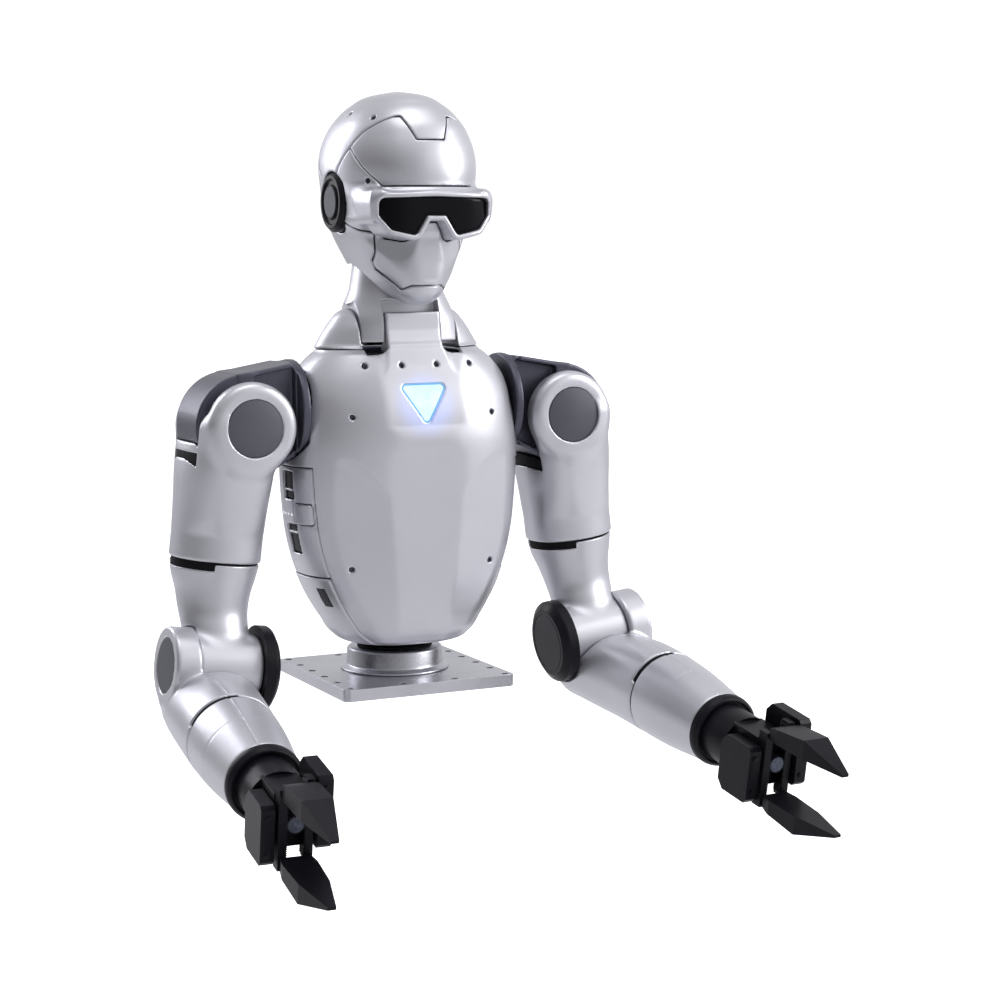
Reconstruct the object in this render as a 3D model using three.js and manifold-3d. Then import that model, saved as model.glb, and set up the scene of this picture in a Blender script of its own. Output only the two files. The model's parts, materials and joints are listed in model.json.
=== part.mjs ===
// Upper body of a humanoid robot on a square base plate: base, waist, torso, neck, head and two
// mirrored arms, each with a parallel gripper. Millimetres, +Z up, the face looks along -Y, and the
// origin is the centre of the base plate's underside. The grippers hang lower than the plate.
import * as THREE from "three";
import { mergeVertices } from "three/addons/utils/BufferGeometryUtils.js";
import Module from "manifold-3d";

const wasm = await Module();
wasm.setup();

// ---- driving dimensions ----
const GAP = 0.4; // clearance between touching parts
const WALL = 4; // thickness of the cast covers
const SEAM = 1.2; // width of the joint between two covers
const SEGMENTS = 32;

const PLATE = { halfX: 100, halfY: 102, thick: 13, corner: 8, hole: 4.2, inset: 9 };
const PEDESTAL = { foot: 60, radius: 53, top: 38 };
const WAIST = { bearing: 42, top: 45 };
const TORSO_CENTRE = -18;

// Torso sections: height, half width, depth to the front and to the back.
const TORSO = [
  [47, 54, 50, 54],
  [50, 64, 56, 60],
  [58, 76, 63, 68],
  [76, 89, 70, 76],
  [102, 105, 74, 82],
  [132, 118, 77, 85],
  [165, 127, 79, 87],
  [205, 132, 81, 88],
  [245, 134, 83, 88],
  [280, 133, 83, 86],
  [305, 129, 80, 84],
  [325, 125, 74, 80],
  [342, 117, 67, 76],
  [356, 106, 60, 70],
  [370, 90, 53, 62],
];
const TORSO_POWER = 2.35;
const SIDE_PANEL = { front: -62, back: 44, bottom: 128, top: 246 };
const CHEST_SEAM = -4; // where chest and back covers meet above the side panels

const LAMP = { half: 19.5, top: 328.5, tip: 298, corner: 4.5 };
const PORTS = { front: -36, back: -13, depth: 3 };
const PORT_BAYS = [
  [211, 241],
  [152, 184],
];
const KEY = { y: -48, z: 196, half: 11 };

const SHOULDER = {
  x: 185.5,
  y: -15,
  z: 292.4,
  pitchZ: 306,
  socket: 56,
  socketX: 120,
  drum: 55.5,
  drumHalf: 34.7,
  motor: 30,
  lobe: 48,
  disc: 30,
};
const ARM = {
  x: 194.5,
  y: -13,
  z: 292,
  tilt: 7,
  radius: 48,
  gap: -143.6,
  elbowY: -35.3,
  elbowZ: -253.4,
};
const ROLL = { x: -8.9, z: 1.5 }; // the shoulder's roll axis in the arm's frame
const LOBES = [
  [-64, -37.5],
  [33.5, 60],
]; // front and rear lobe along Y, in the arm's frame
const ELBOW = {
  barrel: 35,
  cap: 46,
  capIn: -42,
  capOut: -59.6,
  lobe: 41,
  lobeIn: 27,
  lobeOut: 55,
  disc: 29,
};
const WRIST = { x: 255.5, y: -283, z: -30, pitch: 10.02, yaw: 3.09, ring: 38, gap: 112 };

const NECK = {
  pivotY: -14,
  pivotZ: 392,
  legIn: 32,
  legOut: 55,
  slotFloor: 377,
  deck: 370,
  columnTop: 408,
  flare: 424,
};
const HEAD_CENTRE = -20;
const HEAD_SEAM = 509; // between the skull and the jaw, behind the temples
// Head sections: height, half width, depth to the front and to the back.
const HEAD = [
  [417, 20, 68, 20],
  [426, 32, 78, 30],
  [441, 43, 83, 42],
  [465, 55, 85, 58],
  [490, 66, 88, 76],
  [515, 73, 93, 90],
  [545, 77, 100, 98],
  [571, 78, 99, 100],
  [592, 73, 92, 94],
  [612, 62, 81, 80],
  [628, 46, 63, 61],
  [638, 29, 42, 40],
  [643, 12, 18, 18],
];
const HEAD_POWER = 2.3;
const VISOR = { centre: -40, width: 82, front: 88, back: -80, power: 4 };
const EAR = { y: -24, z: 526, radius: 32, groove: 24, cap: 18, out: 79 };

const GRIPPER = {
  hub: 31,
  hubStart: 2.6,
  hubEnd: 43,
  face: 84,
  rackEnd: 98,
  knuckle: 155,
  reach: 207,
  pinion: 8.4,
  teeth: 24,
  gap: 30.5,
};

// ---- materials ----
const material = (color, roughness, metalness) =>
  new THREE.MeshStandardMaterial({ color, roughness, metalness });
const silver = () => material(0xa9a9b4, 0.34, 0.7);
const darkSilver = () => material(0x4a4a55, 0.4, 0.7);
const greyDisc = () => material(0x5c5c66, 0.6, 0.4);
const black = () => material(0x17171c, 0.42, 0.3);
const gloss = () => material(0x07070a, 0.08, 0.1);
const lamp = () => material(0xd8f4ff, 0.3, 0.0);
const steel = () => material(0x8c8c90, 0.35, 0.9);
const board = () => material(0x2c4a3c, 0.6, 0.1);

// ---- geometry helpers: every shape is a manifold solid until it becomes a mesh ----
const V = (x, y, z) => new THREE.Vector3(x, y, z);
const rad = THREE.MathUtils.degToRad;

function toSolid(geometry) {
  const bare = geometry.clone();
  bare.deleteAttribute("normal");
  bare.deleteAttribute("uv");
  const merged = mergeVertices(bare, 1e-4);
  return new wasm.Manifold(
    new wasm.Mesh({
      numProp: 3,
      vertProperties: new Float32Array(merged.attributes.position.array),
      triVerts: new Uint32Array(merged.index.array),
    }),
  );
}

function toGeometry(solid) {
  const mesh = solid.getMesh();
  const geometry = new THREE.BufferGeometry();
  geometry.setAttribute("position", new THREE.BufferAttribute(mesh.vertProperties, 3));
  geometry.setIndex(new THREE.BufferAttribute(mesh.triVerts, 1));
  geometry.computeVertexNormals();
  return geometry;
}

const join = (...solids) => solids.reduce((a, b) => a.add(b));
const cut = (body, ...tools) => tools.reduce((a, b) => a.subtract(b), body);
const clip = (...solids) => solids.reduce((a, b) => a.intersect(b));
const moved = (solid, matrix) => toSolid(toGeometry(solid).applyMatrix4(matrix));

// The largest connected body, without the slivers that a cut leaves.
const mainBody = (solid) => solid.decompose().reduce((a, b) => (b.volume() > a.volume() ? b : a));

// A box between two opposite corners, in any order.
function block(x0, y0, z0, x1, y1, z1) {
  const box = new THREE.BoxGeometry(Math.abs(x1 - x0), Math.abs(y1 - y0), Math.abs(z1 - z0));
  return toSolid(box.translate((x0 + x1) / 2, (y0 + y1) / 2, (z0 + z1) / 2));
}

// A cylinder along "x", "y" or "z" between two places on that axis, round a centre line.
function rod(axis, from, to, radius, centre = [0, 0, 0], segments = 28, farRadius = radius) {
  const flip = to < from;
  const [near, far] = flip ? [farRadius, radius] : [radius, farRadius];
  const g = new THREE.CylinderGeometry(far, near, Math.abs(to - from), segments);
  g.translate(0, (from + to) / 2, 0);
  if (axis === "x") g.rotateZ(-Math.PI / 2);
  if (axis === "z") g.rotateX(Math.PI / 2);
  return toSolid(g.translate(...centre));
}

// A solid of revolution about Z from [radius, height] points, bottom first.
function turned(points, segments = 28) {
  const g = new THREE.LatheGeometry(points.map(([r, h]) => new THREE.Vector2(r, h)), segments);
  return toSolid(g.rotateX(Math.PI / 2));
}

// An outline extruded by a depth, in its own XY plane.
function prism(shape, depth, curveSegments = 6) {
  return new THREE.ExtrudeGeometry(shape, { depth, bevelEnabled: false, curveSegments });
}

const outline = (points) => new THREE.Shape(points.map(([u, v]) => new THREE.Vector2(u, v)));

// An [x, z] outline extruded along Y from y0 to y1.
const plateXZ = (points, y0, y1) =>
  toSolid(prism(outline(points), y1 - y0).rotateX(Math.PI / 2).translate(0, y1, 0));

// A [y, z] outline extruded along X from x0 to x1.
const plateYZ = (points, x0, x1) =>
  toSolid(
    prism(outline(points), x1 - x0)
      .rotateX(Math.PI / 2)
      .rotateZ(Math.PI / 2)
      .translate(x0, 0, 0),
  );

// An [x, y] outline extruded along Z from z0 to z1.
const plateXY = (points, z0, z1) => toSolid(prism(outline(points), z1 - z0).translate(0, 0, z0));

// A closed skin over rings of points, low ring first, each turning counter-clockwise from above.
function loft(rings) {
  const count = rings[0].length;
  const points = rings.flat();
  const faces = [];
  for (let r = 0; r + 1 < rings.length; r += 1) {
    for (let i = 0; i < count; i += 1) {
      const a = r * count + i;
      const b = r * count + ((i + 1) % count);
      faces.push(a, b, b + count, a, b + count, a + count);
    }
  }
  const middle = (ring) => ring.reduce((sum, p) => sum.add(p), V(0, 0, 0)).divideScalar(count);
  const low = points.push(middle(rings[0])) - 1;
  const high = points.push(middle(rings[rings.length - 1])) - 1;
  const last = (rings.length - 1) * count;
  for (let i = 0; i < count; i += 1) {
    const next = (i + 1) % count;
    faces.push(low, next, i, high, last + i, last + next);
  }
  const g = new THREE.BufferGeometry().setFromPoints(points);
  g.setIndex(faces);
  return toSolid(g);
}

// A level ring: half width, depth to the front (-Y) and to the back (+Y), and squareness.
function levelRing(height, centre, width, front, back, power, count = SEGMENTS) {
  const ring = [];
  for (let i = 0; i < count; i += 1) {
    const turn = (2 * Math.PI * i) / count;
    const c = Math.cos(turn);
    const s = Math.sin(turn);
    const depth = s < 0 ? front : back;
    const x = width * Math.sign(c) * Math.abs(c) ** (2 / power);
    const y = depth * Math.sign(s) * Math.abs(s) ** (2 / power);
    ring.push(V(x, centre + y, height));
  }
  return ring;
}

// A loft over a table of level sections, each drawn in by `inset`.
function stack(table, centre, power, inset = 0, count = SEGMENTS) {
  const last = table.length - 1;
  return loft(
    table.map(([height, width, front, back], i) => {
      const lift = (i === 0 ? inset : 0) - (i === last ? inset : 0);
      return levelRing(height + lift, centre, width - inset, front - inset, back - inset, power, count);
    }),
  );
}

// A loft of upright oval sections that run forward (-Y), rearmost first:
// [distance forward, x, z, radius across, radius up].
function forwardLoft(table, count = 28) {
  return loft(
    table.map(([forward, x, z, across, up]) => {
      const ring = [];
      for (let i = 0; i < count; i += 1) {
        const turn = (2 * Math.PI * i) / count;
        ring.push(V(x + across * Math.cos(turn), -forward, z + up * Math.sin(turn)));
      }
      return ring;
    }),
  );
}

const part = new THREE.Group();
part.name = "humanoid_upper_body";

function add(name, solid, look, group = part) {
  const mesh = new THREE.Mesh(toGeometry(solid), look);
  mesh.name = name;
  group.add(mesh);
}

// ---- base ----
// Screw holes on one rectangle near the plate's edge.
function plateHoles() {
  const edgeX = PLATE.halfX - PLATE.inset;
  const edgeY = PLATE.halfY - PLATE.inset;
  const [alongX, alongY] = [4, 6];
  const holes = [];
  const drill = (x, y) => holes.push(rod("z", -1, PLATE.thick + 1, PLATE.hole, [x, y, 0], 8));
  for (let i = 0; i < alongX; i += 1) {
    const x = -edgeX + (2 * edgeX * i) / (alongX - 1);
    drill(x, -edgeY);
    drill(x, edgeY);
  }
  for (let i = 1; i + 1 < alongY; i += 1) {
    const y = -edgeY + (2 * edgeY * i) / (alongY - 1);
    drill(-edgeX, y);
    drill(edgeX, y);
  }
  return holes;
}

function basePlate() {
  const x = PLATE.halfX - PLATE.corner;
  const y = PLATE.halfY - PLATE.corner;
  const shape = new THREE.Shape();
  [
    [x, y],
    [-x, y],
    [-x, -y],
    [x, -y],
  ].forEach(([cx, cy], i) => {
    const turn = (i * Math.PI) / 2;
    shape.absarc(cx, cy, PLATE.corner, turn, turn + Math.PI / 2, false);
  });
  const slab = toSolid(prism(shape, PLATE.thick, 4));
  return cut(slab, ...plateHoles());
}

function pedestal() {
  const low = PLATE.thick + GAP;
  return turned([
    [0, low],
    [PEDESTAL.foot, low],
    [PEDESTAL.foot - 3, low + 3],
    [PEDESTAL.radius, low + 7],
    [PEDESTAL.radius, PEDESTAL.top - 2],
    [PEDESTAL.radius - 2, PEDESTAL.top],
    [0, PEDESTAL.top],
  ]);
}

function waistBearing() {
  const low = PEDESTAL.top + GAP;
  const high = low + 3.4;
  return turned([
    [24, low],
    [WAIST.bearing, low],
    [WAIST.bearing, high],
    [24, high],
    [24, low],
  ]);
}

function waistRotor() {
  const low = PEDESTAL.top + 2 * GAP + 3.4;
  return turned([
    [0, low],
    [WAIST.bearing - 3, low],
    [WAIST.bearing - 3, WAIST.top + 1],
    [30, WAIST.top + 1],
    [30, WAIST.top + 18],
    [0, WAIST.top + 18],
  ]);
}

add("base_plate", basePlate(), silver());
add("pedestal_collar", pedestal(), silver());
add("waist_bearing", waistBearing(), black());
add("waist_rotor", waistRotor(), black());

// ---- torso ----
const RIGHT = -1;
const LEFT = 1;
const SIDES = [
  ["left", LEFT],
  ["right", RIGHT],
];
const torsoAt = (inset) => stack(TORSO, TORSO_CENTRE, TORSO_POWER, inset);

// The front column of the neck, which the chest cover carries up between the neck's legs.
const neckColumn = () =>
  plateYZ(
    [
      [-78, 352],
      [-63, 376],
      [-60, NECK.columnTop],
      [-50, NECK.columnTop],
      [-50, 352],
    ],
    -NECK.legIn + 0.6,
    NECK.legIn - 0.6,
  );

// The torso's whole skin, open at the waist, at the neck and at the two shoulder sockets.
function torsoSkin() {
  const waistHole = rod("z", 40, 60, WAIST.bearing - 1);
  const sockets = SIDES.map(([, side]) =>
    rod("x", side * SHOULDER.socketX, side * 150, SHOULDER.socket, [0, SHOULDER.y, SHOULDER.pitchZ]),
  );
  const bearings = SIDES.map(([, side]) =>
    rod("x", side * 100, side * 150, 42, [0, SHOULDER.y, SHOULDER.pitchZ]),
  );
  const neckHole = block(-NECK.legOut - 0.6, -46, 345, NECK.legOut + 0.6, 32, 390);
  const legSlots = SIDES.map(([, side]) =>
    block(side * (NECK.legIn - 0.6), -66, 345, side * (NECK.legOut + 0.6), 32, 420),
  );
  const openings = [waistHole, neckHole, ...legSlots, ...sockets, ...bearings];
  return cut(join(torsoAt(0), neckColumn()), torsoAt(WALL), ...openings);
}

const skin = torsoSkin();

// Counterbores of the chest cover's screws: [x, height].
function chestBores() {
  const places = [
    [20.2, 353],
    [60.8, 353],
    [81, 300.5],
    [81, 137.5],
  ];
  const bore = (x, z) => rod("y", -130, -40, 2.8, [x, 0, z], 12);
  return places.flatMap(([x, z]) => [bore(x, z), bore(-x, z)]);
}

// A prism through the chest: a triangle with rounded corners that points down.
function lampPrism(grow) {
  const corner = LAMP.corner + grow;
  const slope = Math.atan2(LAMP.half, LAMP.top - LAMP.tip);
  const shape = new THREE.Shape();
  shape.absarc(LAMP.half, LAMP.top, corner, -slope, Math.PI / 2, false);
  shape.absarc(-LAMP.half, LAMP.top, corner, Math.PI / 2, Math.PI + slope, false);
  shape.absarc(0, LAMP.tip, corner, Math.PI + slope, 2 * Math.PI - slope, false);
  return toSolid(prism(shape, 60, 4).rotateX(Math.PI / 2).translate(0, -60, 0));
}

function chestCover() {
  const region = plateYZ(
    [
      [-150, 30],
      [SIDE_PANEL.front - SEAM, 30],
      [SIDE_PANEL.front - SEAM, SIDE_PANEL.top + SEAM],
      [CHEST_SEAM - SEAM, SIDE_PANEL.top + SEAM],
      [CHEST_SEAM - SEAM, 430],
      [-150, 430],
    ],
    -160,
    160,
  );
  return mainBody(cut(clip(skin, region), lampPrism(GAP), ...chestBores()));
}

const chestLamp = () => mainBody(cut(clip(torsoAt(0.3), lampPrism(0)), torsoAt(3)));

function backCover() {
  const region = plateYZ(
    [
      [SIDE_PANEL.front, 30],
      [120, 30],
      [120, 430],
      [CHEST_SEAM, 430],
      [CHEST_SEAM, SIDE_PANEL.top + SEAM],
      [SIDE_PANEL.back + SEAM, SIDE_PANEL.top + SEAM],
      [SIDE_PANEL.back + SEAM, SIDE_PANEL.bottom - SEAM],
      [SIDE_PANEL.front, SIDE_PANEL.bottom - SEAM],
    ],
    -160,
    160,
  );
  return mainBody(clip(skin, region));
}

// One upper side panel with two port bays; the right one also has the window of the power key.
function sidePanel(side) {
  const region = block(
    side * 60,
    SIDE_PANEL.front,
    SIDE_PANEL.bottom,
    side * 160,
    SIDE_PANEL.back,
    SIDE_PANEL.top,
  );
  const bays = PORT_BAYS.map(([low, high]) =>
    block(side * 90, PORTS.front, low, side * 160, PORTS.back, high),
  );
  const pockets = cut(join(...bays), torsoAt(PORTS.depth));
  const window = side === RIGHT ? [keyBlock(KEY.half + 0.5)] : [];
  return mainBody(cut(clip(skin, region), pockets, ...window));
}

const keyBlock = (half) => block(-170, KEY.y - half, KEY.z - half, -60, KEY.y + half, KEY.z + half);

// The square power key in the right side panel, a little proud of the skin.
const powerButton = () => mainBody(cut(clip(torsoAt(-1.2), keyBlock(KEY.half)), torsoAt(6)));

function torsoFrame() {
  const post = rod("z", WAIST.top + 18 + GAP, 340, 22, [0, 8, 0], 24);
  const spine = block(-26, 12, 70, 26, 34, 340);
  const beam = block(-64, -30, 290, 64, 30, 322);
  return join(post, spine, beam);
}

// The pitch motor behind each shoulder socket, with its output shaft.
function shoulderMotor(side) {
  const centre = [0, SHOULDER.y, SHOULDER.pitchZ];
  const can = rod("x", side * (64 + GAP), side * 112, 36, centre, 28);
  const shaft = rod("x", side * 100, side * (SHOULDER.socketX - GAP), 20, centre, 20);
  return join(can, shaft);
}

// The rounded boss beside each neck leg, which holds the neck's pitch axle.
function trapezius(side) {
  const dome = stack(
    [
      [NECK.deck + GAP, 95, 50, 50],
      [382, 88, 49, 49],
      [398, 77, 45, 46],
      [408, 68, 36, 38],
      [414, 59, 20, 22],
    ],
    NECK.pivotY,
    2,
    0,
    32,
  );
  return mainBody(clip(dome, block(side * (NECK.legOut + 1), -80, 360, side * 120, 60, 430)));
}

add("torso_frame", torsoFrame(), darkSilver());
add("chest_cover", chestCover(), silver());
add("back_cover", backCover(), silver());
add("chest_lamp", chestLamp(), lamp());
add("compute_box", block(-48, -66, 130, 48, -20, 262), board());
add("power_button", powerButton(), silver());
SIDES.forEach(([name, side]) => {
  add(`side_panel_${name}`, sidePanel(side), silver());
  add(`shoulder_motor_${name}`, shoulderMotor(side), black());
  add(`trapezius_${name}`, trapezius(side), silver());
});

// ---- neck ----
// A hollow column whose two legs straddle the chest's front column and hold the pitch axle.
// It widens downwards, and below the shoulders of its legs it is cut straight beside the bosses.
function neckShell() {
  const outer = (inset) =>
    stack(
      [
        [NECK.slotFloor + 3, 76, 49, 38],
        [404, 67, 48, 38],
        [418, 58, 45, 43],
        [432, 51, 43, 45],
        [450, 47, 42, 46],
        [462, 45, 42, 46],
      ],
      NECK.pivotY,
      2.3,
      inset,
      28,
    );
  const columnRoom = block(-NECK.legIn, -80, 360, NECK.legIn, -43, NECK.columnTop + 14);
  const hollow = clip(outer(6), block(-39, -38, 370, 39, 18, 448));
  const axleRoom = rod("x", -39, 39, 22, [0, NECK.pivotY, NECK.pivotZ], 28);
  const open = block(-39, -38, 360, 39, 18, 400);
  const flanks = SIDES.map(([, side]) => block(side * NECK.legOut, -80, 360, side * 100, 60, NECK.flare));
  return mainBody(cut(outer(0), columnRoom, hollow, axleRoom, open, ...flanks));
}

const neckMotor = () => rod("x", -38.5, 38.5, 20, [0, NECK.pivotY, NECK.pivotZ], 28);

add("neck_shell", neckShell(), silver());
add("neck_motor", neckMotor(), black());

// ---- head ----
const headAt = (inset) => stack(HEAD, HEAD_CENTRE, HEAD_POWER, inset);

// The goggle-shaped brow and lens: a wide band round the front of the face.
function goggles(inset, low, high) {
  const ring = (z) => levelRing(z, VISOR.centre, VISOR.width - inset, VISOR.front - inset, 40, VISOR.power);
  return loft([ring(low), ring(high)]);
}

// The lens opening seen from the front: straight on top, with two lobes and a nose notch below.
const lensOutline = (grow) => [
  [-62 - grow, 529 + grow],
  [-62 - grow, 511 - grow],
  [-50 - grow, 496 - grow],
  [-23 - grow / 2, 490 - grow],
  [-10, 511 - grow],
  [10, 511 - grow],
  [23 + grow / 2, 490 - grow],
  [50 + grow, 496 - grow],
  [62 + grow, 511 - grow],
  [62 + grow, 529 + grow],
  [0, 531 + grow],
];

const earRooms = () =>
  SIDES.map(([, side]) => rod("x", side * 62, side * 100, EAR.radius + 0.6, [0, EAR.y, EAR.z]));

// The head's whole skin, open round the neck and at the ears, and the same with the visor's room.
// Round room for the neck, wider below, so that the head can turn about it.
const NECK_ROOM = [
  [400, 59],
  [424, 58.5],
  [434, 55],
  [448, 52.5],
  [474, 51.5],
];
const neckRoom = loft(NECK_ROOM.map(([z, radius]) => levelRing(z, NECK.pivotY, radius, radius, radius, 2)));
const bareFace = cut(headAt(0), headAt(WALL), neckRoom, ...earRooms());
const visorRoom = clip(goggles(-1, 470, 560), plateXZ(lensOutline(6.5), -200, VISOR.back));
const face = cut(bareFace, visorRoom);

// The face mask seen from the front: its lower corners, then a small step up to the mouth line.
const maskPrism = (grow) =>
  plateXZ(
    [
      [-50 - grow, 515],
      [-47 - grow, 461],
      [-44 - grow, 456],
      [-24 - grow, 434.5 - grow],
      [-17 - grow, 438.5 - grow],
      [17 + grow, 438.5 - grow],
      [24 + grow, 434.5 - grow],
      [44 + grow, 456],
      [47 + grow, 461],
      [50 + grow, 515],
    ],
    -160,
    -64,
  );

// Everything below the seam between jaw and temples, which drops towards the visor.
const jawPrism = (grow) =>
  plateYZ(
    [
      [-160, 380],
      [120, 380],
      [120, HEAD_SEAM + grow],
      [-40, HEAD_SEAM + grow],
      [-60, 497 + grow],
      [-76, 493 + grow],
      [-160, 493 + grow],
    ],
    -100,
    100,
  );

// The temples: in front of the ears, up to a seam that climbs from the brow ledge.
const templePrism = (grow) =>
  plateYZ(
    [
      [-160, 480],
      [-33 + grow, 480],
      [-36 + grow, 553],
      [-62 + grow, 581 + grow],
      [-101, 541 + grow],
      [-160, 541 + grow],
    ],
    -100,
    100,
  );

// The forehead panel: above the temple seam, up to the crown, and dipping in the middle.
function browPrism(grow) {
  const wedge = plateYZ(
    [
      [-160, 542.2],
      [-102, 542.2],
      [-63 + grow, 582],
      [-74 + grow, 598 + grow],
      [-90 + grow, 613 + grow],
      [-160, 613 + grow],
    ],
    -100,
    100,
  );
  const dip = plateXZ(
    [
      [-43 + grow, 640],
      [-16 + grow, 588 + grow],
      [16 - grow, 588 + grow],
      [43 - grow, 640],
    ],
    -160,
    -60,
  );
  return cut(wedge, dip);
}

const skullShell = () => mainBody(cut(face, jawPrism(SEAM), browPrism(SEAM), templePrism(SEAM)));
const browPanel = () => mainBody(clip(face, browPrism(0)));
const jawShell = () => mainBody(cut(clip(face, jawPrism(0)), maskPrism(SEAM)));
const faceMask = () => mainBody(clip(face, maskPrism(0)));

// The wedge between a temple's skin and the end of the visor's band.
function templeFlare(side) {
  const points = [
    [side * 66, -40],
    [side * 58, -86],
    [side * 58, -108],
    [side * 67, -113],
    [side * 70.5, -80],
    [side * 72, -40],
  ];
  return plateXY(side > 0 ? points.reverse() : points, 507, 533);
}

// The temples and the visor's band are one piece.
function visorFrame() {
  const temples = cut(clip(bareFace, templePrism(0)), jawPrism(SEAM), maskPrism(SEAM));
  const band = cut(
    clip(goggles(0, 470, 560), plateXZ(lensOutline(5.5), -200, VISOR.back)),
    headAt(WALL),
    goggles(9, 460, 570),
  );
  const opening = plateXZ(lensOutline(0), -200, VISOR.back);
  const whole = join(temples, band, ...SIDES.map(([, side]) => templeFlare(side)));
  return mainBody(cut(whole, opening, ...earRooms()));
}

function visorLens() {
  const body = clip(goggles(2.5, 470, 560), plateXZ(lensOutline(-GAP), -200, VISOR.back));
  return mainBody(cut(body, goggles(7, 460, 570)));
}

// Each ear is a black ring with a raised cap in its middle.
function ear(side) {
  const centre = [0, EAR.y, EAR.z];
  const ring = rod("x", side * 64, side * EAR.out, EAR.radius, centre);
  const groove = cut(
    rod("x", side * (EAR.out - 3), side * (EAR.out + 1), EAR.groove, centre),
    rod("x", side * 60, side * (EAR.out + 2), EAR.cap, centre),
  );
  return cut(ring, groove);
}

// The head's inner frame: the yaw bearing, the deck and the camera block behind the lens.
function headCore() {
  const bearing = rod("z", 463, 486, 34, [0, NECK.pivotY, 0], 28);
  const deck = block(-46, -58, 486, 46, 26, 498);
  const camera = block(-38, -96, 502, 38, -50, 524);
  return join(bearing, deck, camera, block(-20, -60, 490, 20, -40, 510));
}

add("skull_shell", skullShell(), silver());
add("brow_panel", browPanel(), silver());
add("jaw_shell", jawShell(), silver());
add("face_mask", faceMask(), silver());
add("visor_frame", visorFrame(), silver());
add("visor_lens", visorLens(), gloss());
add("head_core", headCore(), black());
SIDES.forEach(([name, side]) => add(`ear_${name}`, ear(side), black()));

// ---- arms ----
// Three frames: the shoulder in the part's frame, the arm turned out by its tilt, and the forearm.
function frame(x, y, z, pitch, roll, yaw) {
  const group = new THREE.Group();
  group.position.set(x, y, z);
  group.rotation.set(rad(pitch), rad(roll), rad(yaw), "ZXY");
  group.updateMatrix();
  return group;
}

const armFrame = () => frame(ARM.x, ARM.y, ARM.z, 0, -ARM.tilt, 0);
const forearmFrame = () => frame(WRIST.x, WRIST.y, WRIST.z, WRIST.pitch, 0, WRIST.yaw);
const armToForearm = forearmFrame().matrix.clone().invert().multiply(armFrame().matrix);

// The shoulder yoke: a round flange in the torso's socket and a drum that the upper arm turns on.
function shoulderYoke() {
  const low = SHOULDER.y - SHOULDER.drumHalf;
  const high = SHOULDER.y + SHOULDER.drumHalf;
  const socket = [0, SHOULDER.y, SHOULDER.pitchZ];
  const flange = rod("x", SHOULDER.socketX + GAP, 136.5, SHOULDER.socket - 2, socket);
  const points = [
    [135, 354],
    [135, 265],
  ];
  for (let turn = -150; turn <= 90; turn += 10) {
    const x = SHOULDER.x + SHOULDER.drum * Math.cos(rad(turn));
    points.push([x, SHOULDER.z + SHOULDER.drum * Math.sin(rad(turn))]);
  }
  const drum = plateXZ(points, low, high);
  const bore = rod("y", low - 1, high + 1, SHOULDER.motor + GAP, [SHOULDER.x, 0, SHOULDER.z], 32);
  return cut(join(flange, drum), bore);
}

const rollMotor = () =>
  rod(
    "y",
    SHOULDER.y - SHOULDER.drumHalf + 0.6,
    SHOULDER.y + SHOULDER.drumHalf - 0.6,
    SHOULDER.motor,
    [SHOULDER.x, 0, SHOULDER.z],
    32,
  );

// The upper arm: two lobes round the drum, drawn together into a tube. In the arm's frame.
function upperArm() {
  const roll = [ROLL.x, 0, ROLL.z];
  const lobes = LOBES.map(([y0, y1]) => rod("y", y0, y1, SHOULDER.lobe, roll));
  const body = stack(
    [
      [ARM.gap + 1, ARM.radius - 1.5, ARM.radius - 1.5, ARM.radius - 1.5],
      [ARM.gap + 3, ARM.radius, ARM.radius, ARM.radius],
      [-90, ARM.radius, ARM.radius + 2, ARM.radius + 2],
      [-62, ARM.radius, 55, 53],
      [-40, ARM.radius, 61, 58],
      [ROLL.z, ARM.radius - 9, 62, 59],
    ],
    0,
    2.2,
  );
  const drumRoom = rod("y", LOBES[0][1], LOBES[1][0], SHOULDER.drum + 1.5, roll);
  const slotTop = block(-80, LOBES[0][1], ROLL.z - 20, 80, LOBES[1][0], 80);
  const discSeat = rod("y", LOBES[0][0] - 1, LOBES[0][0] + 2.4, SHOULDER.disc + GAP, roll);
  return mainBody(cut(join(body, ...lobes), drumRoom, slotTop, discSeat));
}

const shoulderDisc = () =>
  rod("y", LOBES[0][0] + 0.3, LOBES[0][0] + 2, SHOULDER.disc, [ROLL.x, 0, ROLL.z]);

// The elbow housing: a waisted neck below the yaw gap, ending in the elbow's cross barrel.
function elbowHousing(notchSide) {
  const top = ARM.gap - 1;
  const neck = loft(
    [
      [-232, -3, -27, 34, 31],
      [-212, -1, -17, 36, 33],
      [-196, 0, -9, 37.5, 35],
      [-176, 0, -3, 40, 39.5],
      [-160, 0, 0, 45, 44.5],
      [top, 0, 0, 47.6, 47.6],
    ].map(([z, x, y, across, deep]) => {
      const ring = levelRing(z, y, across, deep, deep, 2);
      return ring.map((point) => point.add(V(x, 0, 0)));
    }),
  );
  const centre = [0, ARM.elbowY, ARM.elbowZ];
  const barrel = rod("x", ELBOW.capIn + GAP, ELBOW.lobeIn - GAP, ELBOW.barrel, centre);
  const ledge = block(notchSide * 14, -60, top - 7, notchSide * 60, 10, top + 1);
  const keep = rod("z", top - 10, top + 2, 41);
  const lobeRoom = rod("x", ELBOW.lobeIn - GAP, 70, ELBOW.lobe + 1.5, centre);
  return mainBody(cut(join(neck, barrel), lobeRoom, cut(ledge, keep)));
}

function elbowCap() {
  const centre = [0, ARM.elbowY, ARM.elbowZ];
  const rim = rod("x", ELBOW.capOut + 6, ELBOW.capIn, ELBOW.cap, centre);
  const chamfer = rod("x", ELBOW.capOut + 6, ELBOW.capOut, ELBOW.cap, centre, 28, ELBOW.cap - 9);
  return join(rim, chamfer);
}

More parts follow.
